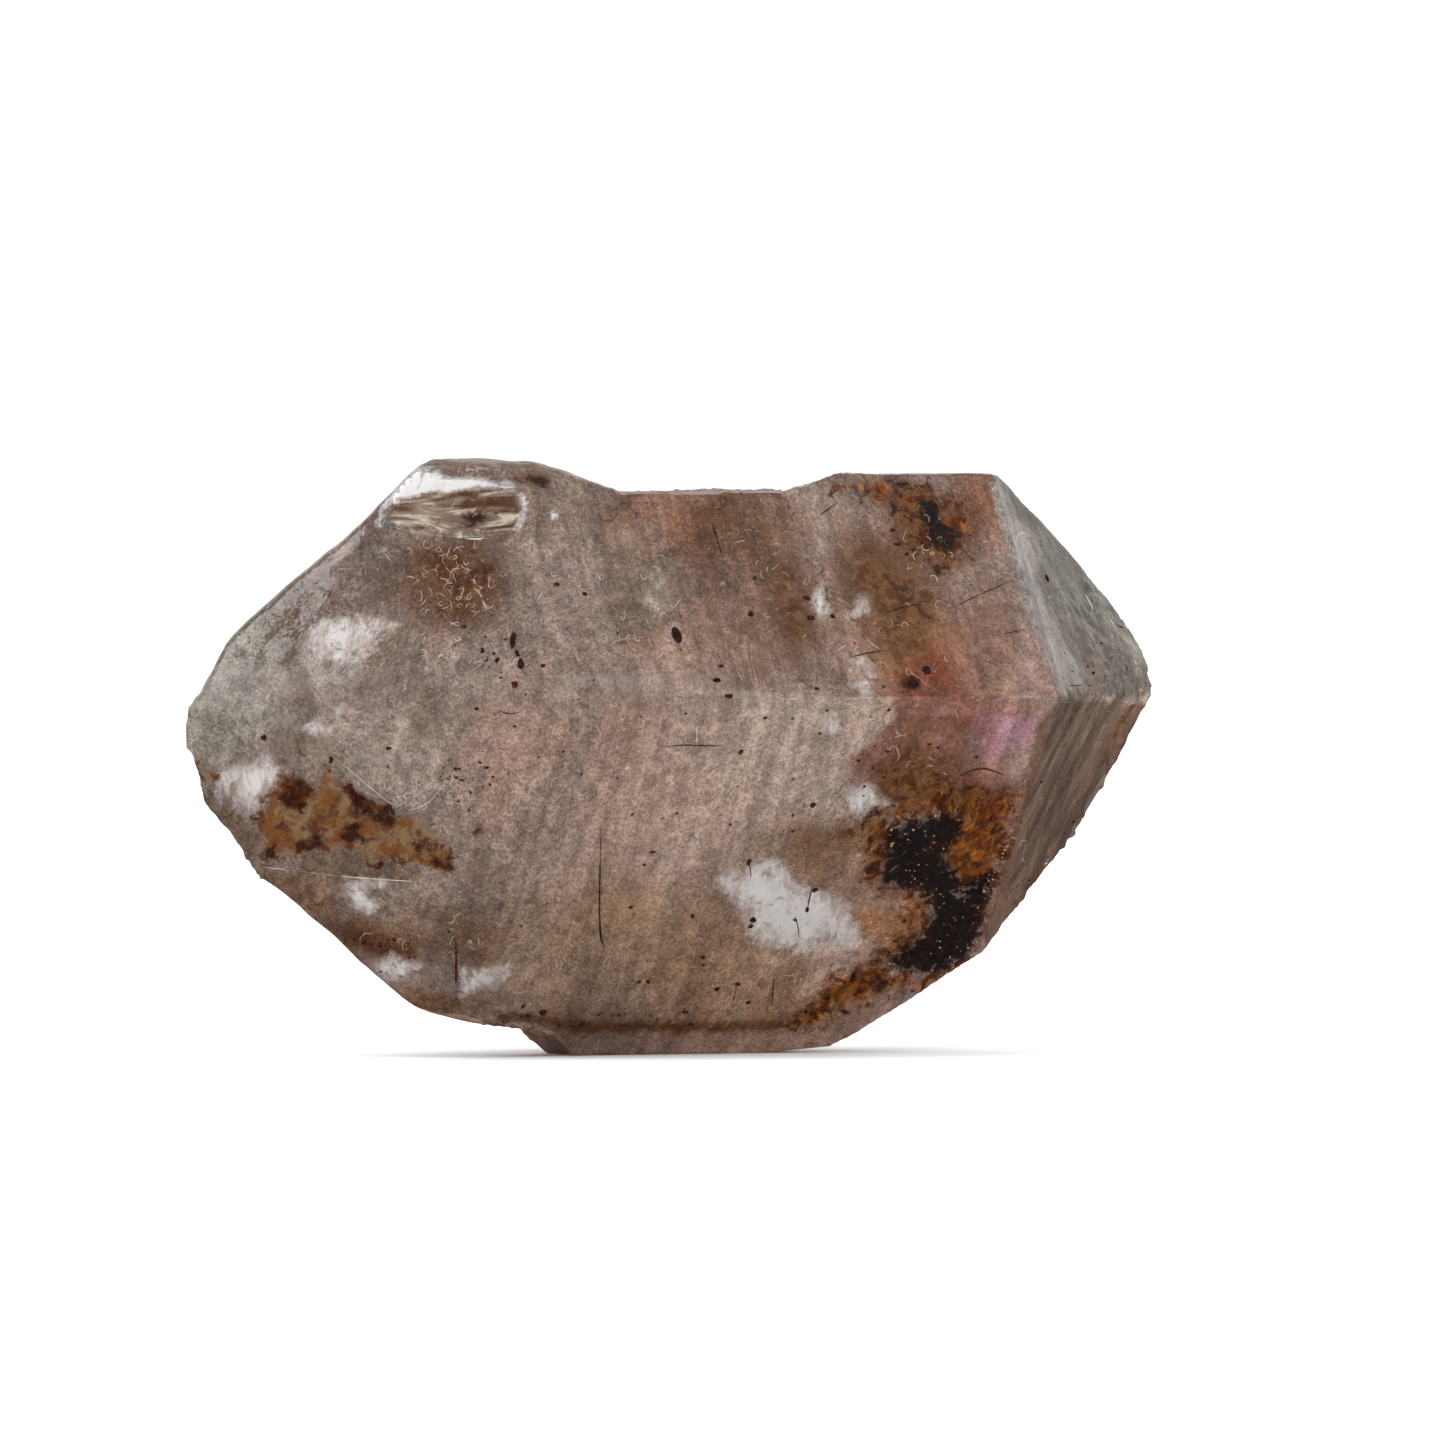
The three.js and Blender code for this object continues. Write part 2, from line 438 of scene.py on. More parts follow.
# Painted reflections: white patches for light mirrored by cracks under the side crystal.
GLINT = (
    # painted reflection: white band on the side crystal
    (0.15, ((-12.2, 27.9), (-11.8, 28.9), (-10.8, 29.1), (-9.5, 28.7), (-7, 28.4), (-6, 28.4),
      (-6.2, 28.1), (-7.5, 28.1), (-10.1, 27.9), (-11.6, 27.7), (-12.2, 27.4), (-12.8, 26.8),
      (-12.9, 26.1), (-13.2, 26.2), (-12.9, 27))),
    # rim of the round flaw
    (0.1, ((-6, 27.9), (-5.7, 27.8), (-5.5, 27), (-5.7, 26.4), (-6, 26.1), (-6.3, 25.9), (-5.9, 26.5),
      (-5.8, 27.1))),
    # glint below the gold streaks
    (0.1, ((-9.1, 25.8), (-8, 25.8), (-8.1, 25.6), (-9.1, 25.6))),
    # chips beside the red patch
    (0.1, ((-4.6, 26.9), (-4.2, 27), (-4, 26.6), (-4.4, 26.5))),
)
# Streaked window between them.
STREAKED = (
    (0.3, ((-12.2, 27.4), (-10.1, 27.8), (-7.5, 28), (-6.3, 27.9), (-5.9, 27), (-6.2, 25.9), (-8.1, 25.8),
      (-10.6, 26), (-12, 26.2), (-12.6, 26.7))),
)
# Brown clouds.
CLOUD = (
    # gold-brown cloud, upper right
    (0.9, ((10.3, 25.4), (11.8, 25), (13.2, 23.9), (14.6, 23.1), (14.8, 21.4), (13.7, 19.9), (11.9, 20.2),
      (11.3, 22.6), (10.4, 24))),
    # its upper arm
    (0.7, ((12.8, 28), (14.2, 28.2), (15.4, 27.4), (16.4, 26.6), (16.2, 25.4), (14.9, 24.3), (13.6, 24.8),
      (12.9, 26.4))),
    # beside the upright fibres
    (0.8, ((6.3, 24.6), (7.7, 24.4), (8.2, 22.6), (8.6, 20.6), (7.5, 20.1), (6.7, 22.1))),
    # orange-brown under the top edge
    (0.6, ((2.9, 27.6), (4.5, 27.6), (4.5, 26.6), (3, 26.5))),
    # brown under the side crystal
    (0.5, ((-10.6, 25), (-8.6, 24.8), (-7.3, 24.3), (-7, 23.1), (-8.6, 21.8), (-10.3, 22.3))),
    # along the underside, left
    (0.5, ((-13.8, 6), (-12.6, 5.5), (-11.3, 5.2), (-11.7, 4.9), (-12.8, 5), (-13.8, 5.6))),
    # brown outline, lower left
    (0.3, ((-15.3, 5.7), (-14.4, 5.1), (-13.4, 4.3), (-13.8, 4.2), (-14.8, 4.9))),
    # along the underside
    (0.4, ((-4.8, 1.9), (-3, 1.8), (-0.2, 1.6), (-0.1, 1.4), (-2.5, 1.2), (-4.7, 1.5))),
    # along the underside, right
    (0.5, ((-0.1, 1.6), (4, 1.6), (7.2, 1.6), (8, 1.6), (7.2, 1.3), (3, 1.2))),
    # brown round the dark mass
    (0.8, ((11.3, 14.6), (13.2, 15.3), (15.4, 14.1), (17.2, 13.1), (16.7, 11.8), (14.7, 12), (12.9, 11.7),
      (11.6, 12.6))),
    # dark lens on the left face
    (0.3, ((-17.4, 15.7), (-16.8, 15.8), (-15.8, 15.6), (-16.1, 15.3), (-17.1, 15.4))),
    # smear towards the left of the dark mass
    (0.7, ((8.1, 10.5), (9.9, 11.1), (11.6, 11.7), (12.2, 10.8), (10.4, 10.6), (8.7, 10.1))),
)
# Films of iron staining.
RUST = (
    # film under the petal
    (0.3, ((-18.9, 11.6), (-17.8, 13.8), (-16.9, 13.8), (-16.1, 13.2), (-15.6, 14.2), (-14.4, 13.3),
      (-13.2, 12.6), (-12.2, 11.8), (-11.2, 12), (-10.1, 11), (-9.2, 9.7), (-9.1, 9), (-10.1, 9.2),
      (-11.3, 9.6), (-12.2, 9.7), (-13.2, 9.3), (-13.9, 10.1), (-15.1, 10.3), (-16.1, 10.1), (-17.6, 9.9),
      (-18.6, 9.7))),
    # notch at the left end
    (0.2, ((-21.6, 14.6), (-20.9, 14.1), (-20.8, 13.8), (-21.4, 13.9))),
    # along the sharp tip
    (0.1, ((23.1, 14.6), (23.9, 16.5), (24.9, 17.6), (24.9, 17.3), (24.1, 16), (23.4, 14.3))),
)
# Dark blotches in the films.
BLOTCH = (
    # upper left of the film
    ((-17.8, 13.7), (-16.8, 13.8), (-16.1, 13.1), (-16.4, 12.3), (-17.4, 12), (-17.8, 12.6)),
    # along the petal's edge
    ((-15.2, 13.7), (-14.4, 13.3), (-13.2, 12.6), (-12.1, 11.8), (-12.3, 11.5), (-13.4, 11.6),
      (-14.2, 12.6)),
    # darkest spot beside the petal
    ((-13.3, 12.6), (-12.4, 12.5), (-12.1, 11.8), (-12.8, 11.6), (-13.3, 11.9)),
    # lower spot
    ((-17.1, 10.5), (-16.4, 10.9), (-15.6, 10.7), (-15.9, 10.3), (-16.9, 10.1)),
    # round spot at the left
    ((-18.6, 10.2), (-18.2, 10.3), (-18.1, 9.9), (-18.5, 9.8)),
    # middle spot
    ((-14.6, 11.4), (-13.8, 11.6), (-13.8, 10.7), (-14.2, 10.5), (-14.8, 10.9)),
    # red spot
    ((-11.1, 10.4), (-10.6, 10.6), (-10.6, 10.2), (-10.9, 10.1)),
    # right end
    ((-10.2, 9.6), (-9.4, 9.7), (-9.2, 9.2), (-9.8, 9.1)),
    # near the wavy rim
    ((-13.1, 9.8), (-12.7, 10), (-12.6, 9.5), (-12.9, 9.3)),
    # small orange spot
    ((-8.2, 11.4), (-7.8, 11.5), (-7.8, 11.1), (-8.1, 10.9)),
    # on the side crystal
    ((-8.8, 26.9), (-7.7, 26.9), (-7.5, 26.5), (-8.2, 26.3), (-8.8, 26.6)),
    # below the side crystal
    ((-7.8, 24.2), (-7.2, 24.1), (-7.2, 23.9), (-7.7, 23.8)),
    # above the pale rim of the side crystal
    ((-6.3, 28.7), (-5.2, 28.7), (-4.5, 28.6), (-4.5, 28), (-5, 28.1), (-5.5, 28.3), (-6.3, 28.4)),
    # beside the prism edge
    ((13.2, 18.9), (13.8, 18.8), (13.9, 18.2), (13.2, 18), (12.9, 18.4)),
)
# Solid dark oxide.
OXIDE = (
    # upper part
    (0.9, ((12.1, 11.3), (13.2, 11.6), (15, 12.1), (16.4, 11.7), (16, 10.8), (15.2, 9.9), (15.6, 9),
      (14.9, 8), (14.3, 7.8), (13.1, 8.1), (11.8, 8.5), (12.2, 9.5))),
    # lower part
    (0.9, ((14.3, 8.1), (15.7, 8.3), (17.3, 7.2), (17, 5.8), (16.2, 4.5), (15, 3.9), (12.6, 4),
      (12.2, 4.8), (13.7, 5.8), (14.4, 7))),
    # edge beside the sharp end
    (0.5, ((17.6, 9.5), (18.1, 10.5), (18.4, 10.3), (17.9, 9), (17.4, 7.7), (16.9, 7.6))),
    # neck between the two parts
    (0.8, ((13.9, 9.2), (15.7, 9.6), (16.2, 8), (15.4, 7.3), (14.2, 7.4))),
    # arm to the right of the lower part
    (0.6, ((15.8, 8.3), (17.2, 9.2), (17.8, 9), (17.3, 7.4), (16.4, 6.6))),
    # upper right, above
    (0.5, ((13.8, 27.7), (14.8, 27.7), (15.5, 26.6), (16.1, 25.6), (15.4, 24.9), (14.3, 25.1), (13.8, 26.4))),
)
# The amber glow round it.
AMBER = (
    # beside the sharp end
    (1.2, ((14.8, 9.5), (15.6, 12.2), (17.2, 13.1), (18.7, 13), (18.4, 10.7), (17.8, 9), (17.2, 7.6),
      (15.7, 8))),
    # left fringe and lens
    (1.2, ((11.3, 11.8), (12.2, 11.5), (12.2, 9.5), (11.7, 8.4), (13.1, 8), (14.3, 7.8), (14.2, 6.9),
      (13.4, 6), (12.9, 6.3), (13.8, 7.3), (11.9, 8), (11.2, 8.6))),
    # tail
    (0.8, ((7.7, 1.5), (9.2, 3.6), (11.3, 4.7), (13.2, 5.9), (14.2, 6.9), (14.2, 5.6), (12.4, 4.6),
      (12.6, 3.9), (14.9, 3.8), (16.4, 4.3), (15.4, 3.6), (14.2, 3), (12.4, 3.1), (10.4, 2.2), (8.7, 1.4))),
    # dark fringe above
    (0.6, ((12.4, 12), (13.4, 12.9), (14.6, 13.4), (15.6, 13), (16.6, 12.4), (16.2, 11.6), (14.6, 11.7))),
    # brown lens above
    (0.7, ((11.2, 12.1), (11.8, 12.3), (12.9, 12.1), (12.9, 11.7), (11.7, 11.7))),
    # strip under the top right edge
    (0.2, ((9.3, 28.4), (10.9, 28.6), (12.6, 28.6), (12.9, 28), (14.2, 28.2), (14.7, 27.6), (13.2, 26.6),
      (12.8, 27.2), (11.6, 27.4), (10.8, 27.9), (9.6, 27.9))),
    # patch on the upper right
    (0.4, ((14.4, 27.6), (16.3, 27), (16.4, 26.1), (15.9, 24.8), (14.7, 24.6), (13.8, 25.4), (13.2, 26.6))),
    # on the upper edge
    (0.3, ((14.8, 24.5), (15.9, 24.8), (16.1, 25.4), (16.4, 25), (15.9, 24.3), (14.9, 24.1))),
)
# Zones with a clear outline: colour, strength, softness of the edge, outline.
PAINTED = (
    ("sage", 0.9, 0.15, ((-1.8, 26.1), (-0.1, 26.5), (1.3, 26.6), (1.4, 21.6), (0.9, 20.1), (-0.8, 19.9),
      (-1.4, 21.4), (-1.8, 23.1))),
    ("pale_sage", 0.8, 0.35, ((0.5, 23.9), (1.2, 23.9), (1.3, 21.8), (0.7, 21.7), (0.2, 22.6))),
    ("pink", 0.95, 0.5, ((16.7, 17.4), (18.4, 17.4), (19.8, 16.7), (19.7, 15.8), (18.9, 15.2),
      (17.9, 14.6), (16.9, 14.8))),
    ("pink_core", 0.9, 0.4, ((18.1, 16.8), (18.9, 16.7), (19.4, 16.1), (18.7, 15.5), (17.9, 15.7))),
    ("rose_streaks", 0.8, 0.3, ((16.4, 14.3), (17.9, 14.5), (18.6, 13.8), (18.2, 13.2), (16.7, 13.3))),
    ("slate", 0.85, 0.2, ((-12.6, 26.9), (-12.2, 27.1), (-11.8, 26.8), (-11.9, 26.1), (-12.7, 25.9),
      (-12.9, 26.3))),
    ("slate", 0.8, 0.2, ((-7.2, 27.3), (-6.5, 27.7), (-5.8, 27.6), (-5.8, 26.9), (-6.2, 26.2), (-7, 26.1),
      (-7.3, 26.7))),
    ("lavender", 0.8, 0.15, ((-15.2, 16.4), (-14.4, 14.8), (-14.8, 14.3), (-14.1, 13.3), (-12.1, 12.4),
      (-10.8, 12.2), (-9.8, 13.3), (-10.1, 15.6), (-12.1, 17), (-14.1, 16.9))),
    ("mist", 0.7, 0.2, ((-17.1, 9.2), (-16.3, 10), (-15.1, 10.3), (-13.9, 10), (-13.2, 9.3), (-12.2, 9.6),
      (-10.8, 9.3), (-10.8, 8.6), (-14.8, 8.8))),
    ("plum", 0.55, 0.4, ((-13.6, 19.9), (-12.1, 20.5), (-10.8, 20.1), (-10.8, 18.1), (-12.3, 17.6),
      (-13.7, 18.1))),
    # painted sheen: the sharp end's upper face, pale grey
    ("sheen_grey_face", 0.95, 0.06, ((17.3, 28.8), (18.8, 23.5), (19.9, 20), (20.9, 17.7), (26.2, 17.8),
      (26.2, 19), (24.3, 22.4), (20.8, 27), (18, 29))),
    ("strip", 0.9, 0.08, ((17.4, 28.5), (18.1, 28.6), (19.4, 25.6), (20.4, 22.6), (21.4, 20.1),
      (22.1, 18.5), (20.9, 17.7), (19.9, 19.9), (18.8, 23.4))),
    ("etched", 0.45, 0.1, ((18.4, 26.8), (19.1, 26.6), (19.9, 25.7), (20.1, 24.5), (19.6, 23.7),
      (19.1, 23.9), (18.6, 25.2))),
    # umber with painted shade: the sharp end's lower face
    ("umber_shade_face", 0.9, 0.06, ((20.9, 17.6), (25.4, 17.5), (24.4, 15.6), (22.4, 12.6), (20.7, 9),
      (18.9, 7.1), (17.2, 4.6), (17.2, 6.3), (18.1, 9.5), (18.9, 12.6), (19.9, 16.5))),
    # light that gathers below the prism edge
    ("beige", 0.9, 0.12, ((6, 17.75), (10, 17.7), (12.6, 17.7), (12.6, 16.6), (11, 15), (8.5, 14),
      (5.6, 15), (5, 16.9))),
    ("rose_streaks", 0.7, 0.12, ((12.6, 17.7), (16, 17.7), (20.2, 17.6), (20, 16.9), (16.4, 16.8), (13, 16.9))),
    # dark line along the underside
    ("dark_band", 0.85, 0.1, ((-7.1, 2.2), (-5, 2), (-3, 1.55), (0, 1.6), (3, 1.6), (7.2, 1.55), (9, 2.2),
      (9.5, 2), (7.5, 1.2), (3, 1.2), (0, 1.2), (-3.3, 1.1), (-5, 1.6), (-7.1, 1.8))),
    # dark band, lower left
    ("dark_band", 0.8, 0.25, ((-14.6, 6.6), (-12.9, 5.7), (-11.2, 5.3), (-11, 4.7), (-12.9, 4.9),
      (-14.5, 5.7))),
)

FILMS = {
    "cloud": [row[1] for row in CLOUD],
    "pearl": [row[1] for row in PEARL],
    "streaked": [row[1] for row in STREAKED],
    "glint": [row[1] for row in GLINT],
    "rust": [row[1] for row in RUST],
    "blotch": list(BLOTCH),
    "amber": [row[1] for row in AMBER],
    "oxide": [row[1] for row in OXIDE],
}

# Soft zones of colour: across, up, half width, half height, turn, colour, strength, edge.
ZONES = (
    (-20.6, 17.6, 2.5, 4, 0, "ash", 0.9, 0.5),
    (-17.8, 21.6, 3, 2.5, 40, "slope", 0.8, 0.5),
    (-16.9, 19.6, 0.4, 2.75, 12, "smoke", 0.5, 0.6),
    (-13.3, 24.1, 2.1, 2.25, 0, "plum", 0.8, 0.5),
    (-9.1, 23.1, 2.75, 2.25, 0, "umber", 0.85, 0.5),
    (-10.8, 23.1, 0.7, 2.5, 0, "mist", 0.3, 0.5),
    (-17.1, 16.1, 2, 1, -15, "ash", 0.6, 0.5),
    (-20.4, 11.6, 1.1, 2.5, 25, "mist", 0.8, 0.5),
    (-17.1, 7.8, 1.9, 1.25, -30, "honey", 0.7, 0.5),
    (-13.1, 5.7, 3, 1, -15, "brown", 0.8, 0.6),
    (-10.1, 2.6, 2.5, 0.7, -10, "honey", 0.8, 0.6),
    (-8.1, 5.8, 2, 1.3, 0, "honey", 0.6, 0.6),
    (-10.6, 6.8, 2.5, 1, 0, "honey", 0.4, 0.6),
    (-3.5, 22.6, 2.1, 4.75, 0, "rose", 0.8, 0.6),
    (-4, 11.6, 3.5, 5, 0, "clay", 0.8, 0.6),
    (-2, 17, 2.5, 0.8, -10, "tan", 0.5, 0.6),
    (-0.1, 13.1, 2.5, 3, 0, "clay", 0.6, 0.6),
    (-5, 17.6, 3, 2, 0, "clay", 0.5, 0.6),
    (4.7, 25.9, 3.3, 2.25, 0, "brown", 0.75, 0.6),
    (6.5, 21.6, 3, 3, 0, "umber", 0.6, 0.6),
    (2.5, 22.6, 1.3, 3.5, 0, "umber", 0.5, 0.5),
    (3, 19.6, 3, 1.5, 0, "clay", 0.6, 0.5),
    (7, 14.6, 4.6, 3.1, 0, "beige", 0.95, 0.5),
    (3.5, 11.1, 3, 2.5, 0, "beige", 0.6, 0.6),
    (8.9, 15.6, 2, 1.5, 0, "beige", 0.7, 0.5),
    (-1.1, 4.6, 5, 3, 0, "tan", 0.75, 0.6),
    (4, 4.6, 4, 3, 0, "olive", 0.55, 0.6),
    (0.9, 7.1, 3.5, 1.5, 0, "tan", 0.6, 0.6),
    (-4, 5.6, 2.5, 3, 0, "tan", 0.5, 0.6),
    (3, 0.6, 7.5, 0.6, 0, "rose", 0.8, 0.4),
    (9.4, 10.1, 3, 1.3, 8, "olive", 0.8, 0.6),
    (7.5, 3.1, 2.5, 1.5, 20, "olive", 0.5, 0.6),
    (11.9, 6.3, 2.25, 1.25, 10, "caramel", 0.85, 0.5),
    (16.9, 20.6, 2, 3.5, -10, "heather", 0.95, 0.5),
    (-15.2, 18.8, 1.3, 1.6, 0, "ash", 0.55, 0.5),
    (0.6, 26.6, 2.6, 1.6, 0, "umber", 0.8, 0.6),
    (12.6, 23.4, 2.6, 4.0, -10, "brown", 0.7, 0.6),
    (13.6, 20.0, 2.2, 2.0, 0, "brown", 0.75, 0.6),
    (10.0, 23.2, 1.8, 2.4, 0, "umber", 0.4, 0.6),
    (-1.3, 7.2, 1.6, 1.6, 0, "olive", 0.5, 0.7),
    (16.7, 27.1, 1.7, 2, 0, "rosewood", 0.9, 0.5),
    (14.4, 19.1, 1.5, 1.5, 0, "russet", 0.9, 0.6),
    (14.7, 16.4, 3, 2, 0, "russet", 0.85, 0.6),
    (12.4, 15.1, 2.5, 2.25, 0, "rosewood", 0.8, 0.6),
    (10.9, 15.3, 1.4, 2, 0, "rose_streaks", 0.7, 0.5),
    (14.9, 13.6, 2.5, 1.5, 0, "russet", 0.8, 0.6),
    (17.2, 12.6, 1.5, 0.9, 0, "russet", 0.8, 0.6),
    (8.9, 20.1, 2, 2, 0, "plum", 0.7, 0.6),
    (9.9, 18.1, 2, 0.7, 0, "plum", 0.5, 0.6),
    # painted glint, bluish white
    (11.3, 18.2, 0.5, 0.35, -30, "opal_glint", 0.9, 0.5),
    (13.2, 26.6, 0.6, 0.5, 0, "rosewood", 0.4, 0.5),
)


def blended(tint, weight, colour):
    share = weight[:, None]
    return tint * (1 - share) + np.array(COLOURS[colour]) * share


def paint_tint(painter, mesh):
    """The colour of the quartz: growth bands, soft zones and zones with a clear outline."""
    count = len(mesh.vertices)
    tint = np.tile(np.array(COLOURS["mauve"]), (count, 1))
    bands = np.array([noise.noise(Vector((point[0] * 0.22, point[1] * 0.05, point[2] * 0.05)))
                      for point in painter.place])
    clouds = painter.drift[:, 2]
    for weight, colour in (
        (smooth(0.05, 0.35, bands), "beige"),
        (smooth(0.05, 0.4, -bands), "smoke"),
        (smooth(0.1, 0.5, clouds), "tan"),
        (smooth(0.15, 0.55, -clouds), "rose"),
    ):
        tint = blended(tint, weight * 0.22, colour)
    for across, up, half_width, half_height, turn, colour, strength, edge in ZONES:
        tint = blended(tint, painter.spot(across, up, half_width, half_height, turn, edge) * strength, colour)
    sharp_end = sharp_end_weight(painter)
    lower = 1 - smooth(-0.1, 0.05, painter.normal[:, 2])
    # painted shade: faces that look straight up are darkened
    tint = blended(tint, smooth(0.8, 0.95, painter.normal[:, 2]) * 0.5, "smoke")
    hidden = sharp_end * (1 - painter.facing)
    # painted sheen: the sharp end's upper faces, turned from the main view, pale grey
    tint = blended(tint, hidden * (1 - lower), "sheen_grey_face")
    # painted shade: the sharp end's lower faces, turned from the main view, umber and darker
    tint = blended(tint, hidden * lower, "umber_shade_face")
    for colour, strength, edge, outline in PAINTED:
        tint = blended(tint, painter.within(outline, edge) * strength, colour)
    attribute = mesh.color_attributes.new("tint", "FLOAT_COLOR", "POINT")
    attribute.data.foreach_set("color", np.hstack([tint, np.ones((count, 1))]).ravel())


def paint_films(painter, mesh):
    """How far inside each kind of film every point is, in millimetres."""
    for name, outlines in FILMS.items():
        attribute = mesh.attributes.new(name, "FLOAT", "POINT")
        attribute.data.foreach_set("value", painter.deepest(outlines))


def sharp_end_weight(painter):
    """1 on the pyramid faces of the sharp end."""
    return smooth(0.3, 0.45, painter.normal[:, 0])


def paint_frost(painter, mesh):
    """How etched the surface is, and a grain that runs along the sharp end's lower outer edge."""
    patches = smooth(0.05, 0.5, painter.drift[:, 0] * 0.6 + painter.fine[:, 1] * 0.5)
    edge = (1 - smooth(4.0, 8.0, painter.across)) * (1 - smooth(0.6, 2.0, np.abs(painter.up - 17.8)))
    level = smooth(0.8, 0.95, painter.normal[:, 2])
    frost = 0.25 * patches + 0.8 * sharp_end_weight(painter) + 0.7 * edge * painter.facing + level
    frost = np.clip(frost, 0, 1)
    attribute = mesh.attributes.new("frost", "FLOAT", "POINT")
    attribute.data.foreach_set("value", frost)
    banding = sharp_end_weight(painter) * (1 - smooth(-0.1, 0.05, painter.normal[:, 2]))
    attribute = mesh.attributes.new("banding", "FLOAT", "POINT")
    attribute.data.foreach_set("value", banding)
    inward = painter.across * 0.886 - painter.up * 0.463
    along = (painter.across * 0.463 + painter.up * 0.886) * 0.06
    grain = np.stack([inward * MM, along * MM, np.zeros(len(inward))], axis=1)
    attribute = mesh.attributes.new("facet_grain", "FLOAT_VECTOR", "POINT")
    attribute.data.foreach_set("vector", grain.ravel())


def growth_lines_group():
    """A node group whose Height holds fine lines across the long axis and small etch pits."""
    tree = bpy.data.node_groups.new("growth lines", "ShaderNodeTree")
    tree.interface.new_socket(name="Vector", in_out="INPUT", socket_type="NodeSocketVector")
    tree.interface.new_socket(name="Height", in_out="OUTPUT", socket_type="NodeSocketFloat")
    nodes = Tree(tree)
    coords = nodes.add("NodeGroupInput", {}).outputs["Vector"]
    across_axis = nodes.stretched(coords, (1, 0.06, 0.06))
    lines = nodes.noise(across_axis, 1500, 1, 0.6, 0.2)
    wide_lines = nodes.noise(across_axis, 500, 1, 0.5, 0.1)
    pits = nodes.step(nodes.noise(coords, 2600, 1, 0.5), 0.62, 0.72)
    height = nodes.math("ADD", lines, wide_lines)
    height = nodes.math("SUBTRACT", height, nodes.math("MULTIPLY", pits, 0.6))
    grain = nodes.noise(coords, 3500, 1, 0.6)
    height = nodes.math("ADD", height, nodes.math("MULTIPLY", grain, 0.35))
    output = nodes.add("NodeGroupOutput", {})
    tree.links.new(height, output.inputs["Height"])
    return tree


def pearl_colours(nodes, given):
    """Silvery grey at the edge, bright further in, with streaks and a few grey veins."""
    edge = nodes.blend(nodes.step(given["Coarse"], 0.36, 0.5), (0.50, 0.40, 0.345, 1), (0.70, 0.62, 0.58, 1))
    bright = nodes.step(nodes.math("ADD", given["Level"], nodes.step(given["Streaks"], 0.4, 0.6, -0.7, 0.6)), 0, 0.9)
    colour = nodes.blend(bright, edge, (1.0, 0.99, 0.98, 1))
    return nodes.blend(nodes.step(given["Fine"], 0.60, 0.66, 0, 0.8), colour, (0.30, 0.24, 0.22, 1))


# Painted highlights: white with grey streaks.
def glint_colours(nodes, given):
    return nodes.blend(nodes.step(given["Streaks"], 0.34, 0.44), (0.62, 0.56, 0.52, 1), (1.0, 1.0, 1.0, 1))


def streaked_colours(nodes, given):
    """Gold, brown and pale streaks that run level."""
    colour = nodes.blend(
        nodes.step(given["Level Lines"], 0.38, 0.52), (0.15, 0.055, 0.012, 1), (0.42, 0.32, 0.25, 1),
    )
    colour = nodes.blend(nodes.step(given["Level Lines"], 0.53, 0.6), colour, (0.90, 0.85, 0.72, 1))
    return nodes.blend(nodes.step(given["Coarse"], 0.56, 0.64), colour, (0.20, 0.065, 0.012, 1))


def cloud_colours(nodes, given):
    """Golden brown, mottled finely, darker in places."""
    colour = nodes.blend(nodes.step(given["Fine"], 0.4, 0.6), (0.40, 0.21, 0.085, 1), (0.17, 0.055, 0.010, 1))
    return nodes.blend(nodes.step(given["Coarse"], 0.54, 0.64), colour, (0.05, 0.012, 0.002, 1))


def rust_colours(nodes, given):
    """A tan film with rusty blotches."""
    colour = nodes.blend(nodes.step(given["Coarse"], 0.42, 0.56), (0.47, 0.33, 0.18, 1), rgba(settings().rust))
    return nodes.blend(nodes.step(given["Fine"], 0.53, 0.60), colour, (0.17, 0.04, 0.003, 1))


def blotch_colours(nodes, given):
    return nodes.blend(nodes.step(given["Fine"], 0.34, 0.56), (0.30, 0.085, 0.005, 1), (0.06, 0.008, 0.001, 1))


def amber_colours(nodes, given):
    """Orange lit from behind, in dark brown."""
    colour = nodes.blend(nodes.step(given["Coarse"], 0.42, 0.6), (0.17, 0.035, 0.002, 1), (0.52, 0.17, 0.010, 1))
    colour = nodes.blend(nodes.step(given["Streaks"], 0.54, 0.68), colour, (0.80, 0.36, 0.05, 1))
    return nodes.blend(nodes.step(given["Fine"], 0.50, 0.62), colour, (0.035, 0.007, 0.001, 1))


def oxide_colours(nodes, given):
    """Black, with a rust-brown edge."""
    colour = nodes.blend(nodes.step(given["Level"], -0.1, 0.3), (0.12, 0.026, 0.002, 1), rgba(settings().iron_oxide))
    return nodes.blend(nodes.step(given["Fine"], 0.56, 0.68), colour, (0.13, 0.03, 0.003, 1))


# How each film looks: colours, how ragged and how soft its edge is in millimetres, and its strength.
FINISHES = {
    "cloud": (cloud_colours, 5.0, 1.0, 0.9),
    "pearl": (pearl_colours, 1.8, 0.2, 0.93),
    "streaked": (streaked_colours, 0.8, 0.15, 0.9),
    "glint": (glint_colours, 0.7, 0.08, 0.98),
    "rust": (rust_colours, 2.6, 0.22, 0.92),
    "blotch": (blotch_colours, 1.2, 0.2, 0.95),
    "amber": (amber_colours, 4.5, 0.6, 0.97),
    "oxide": (oxide_colours, 3.6, 0.3, 0.98),
}


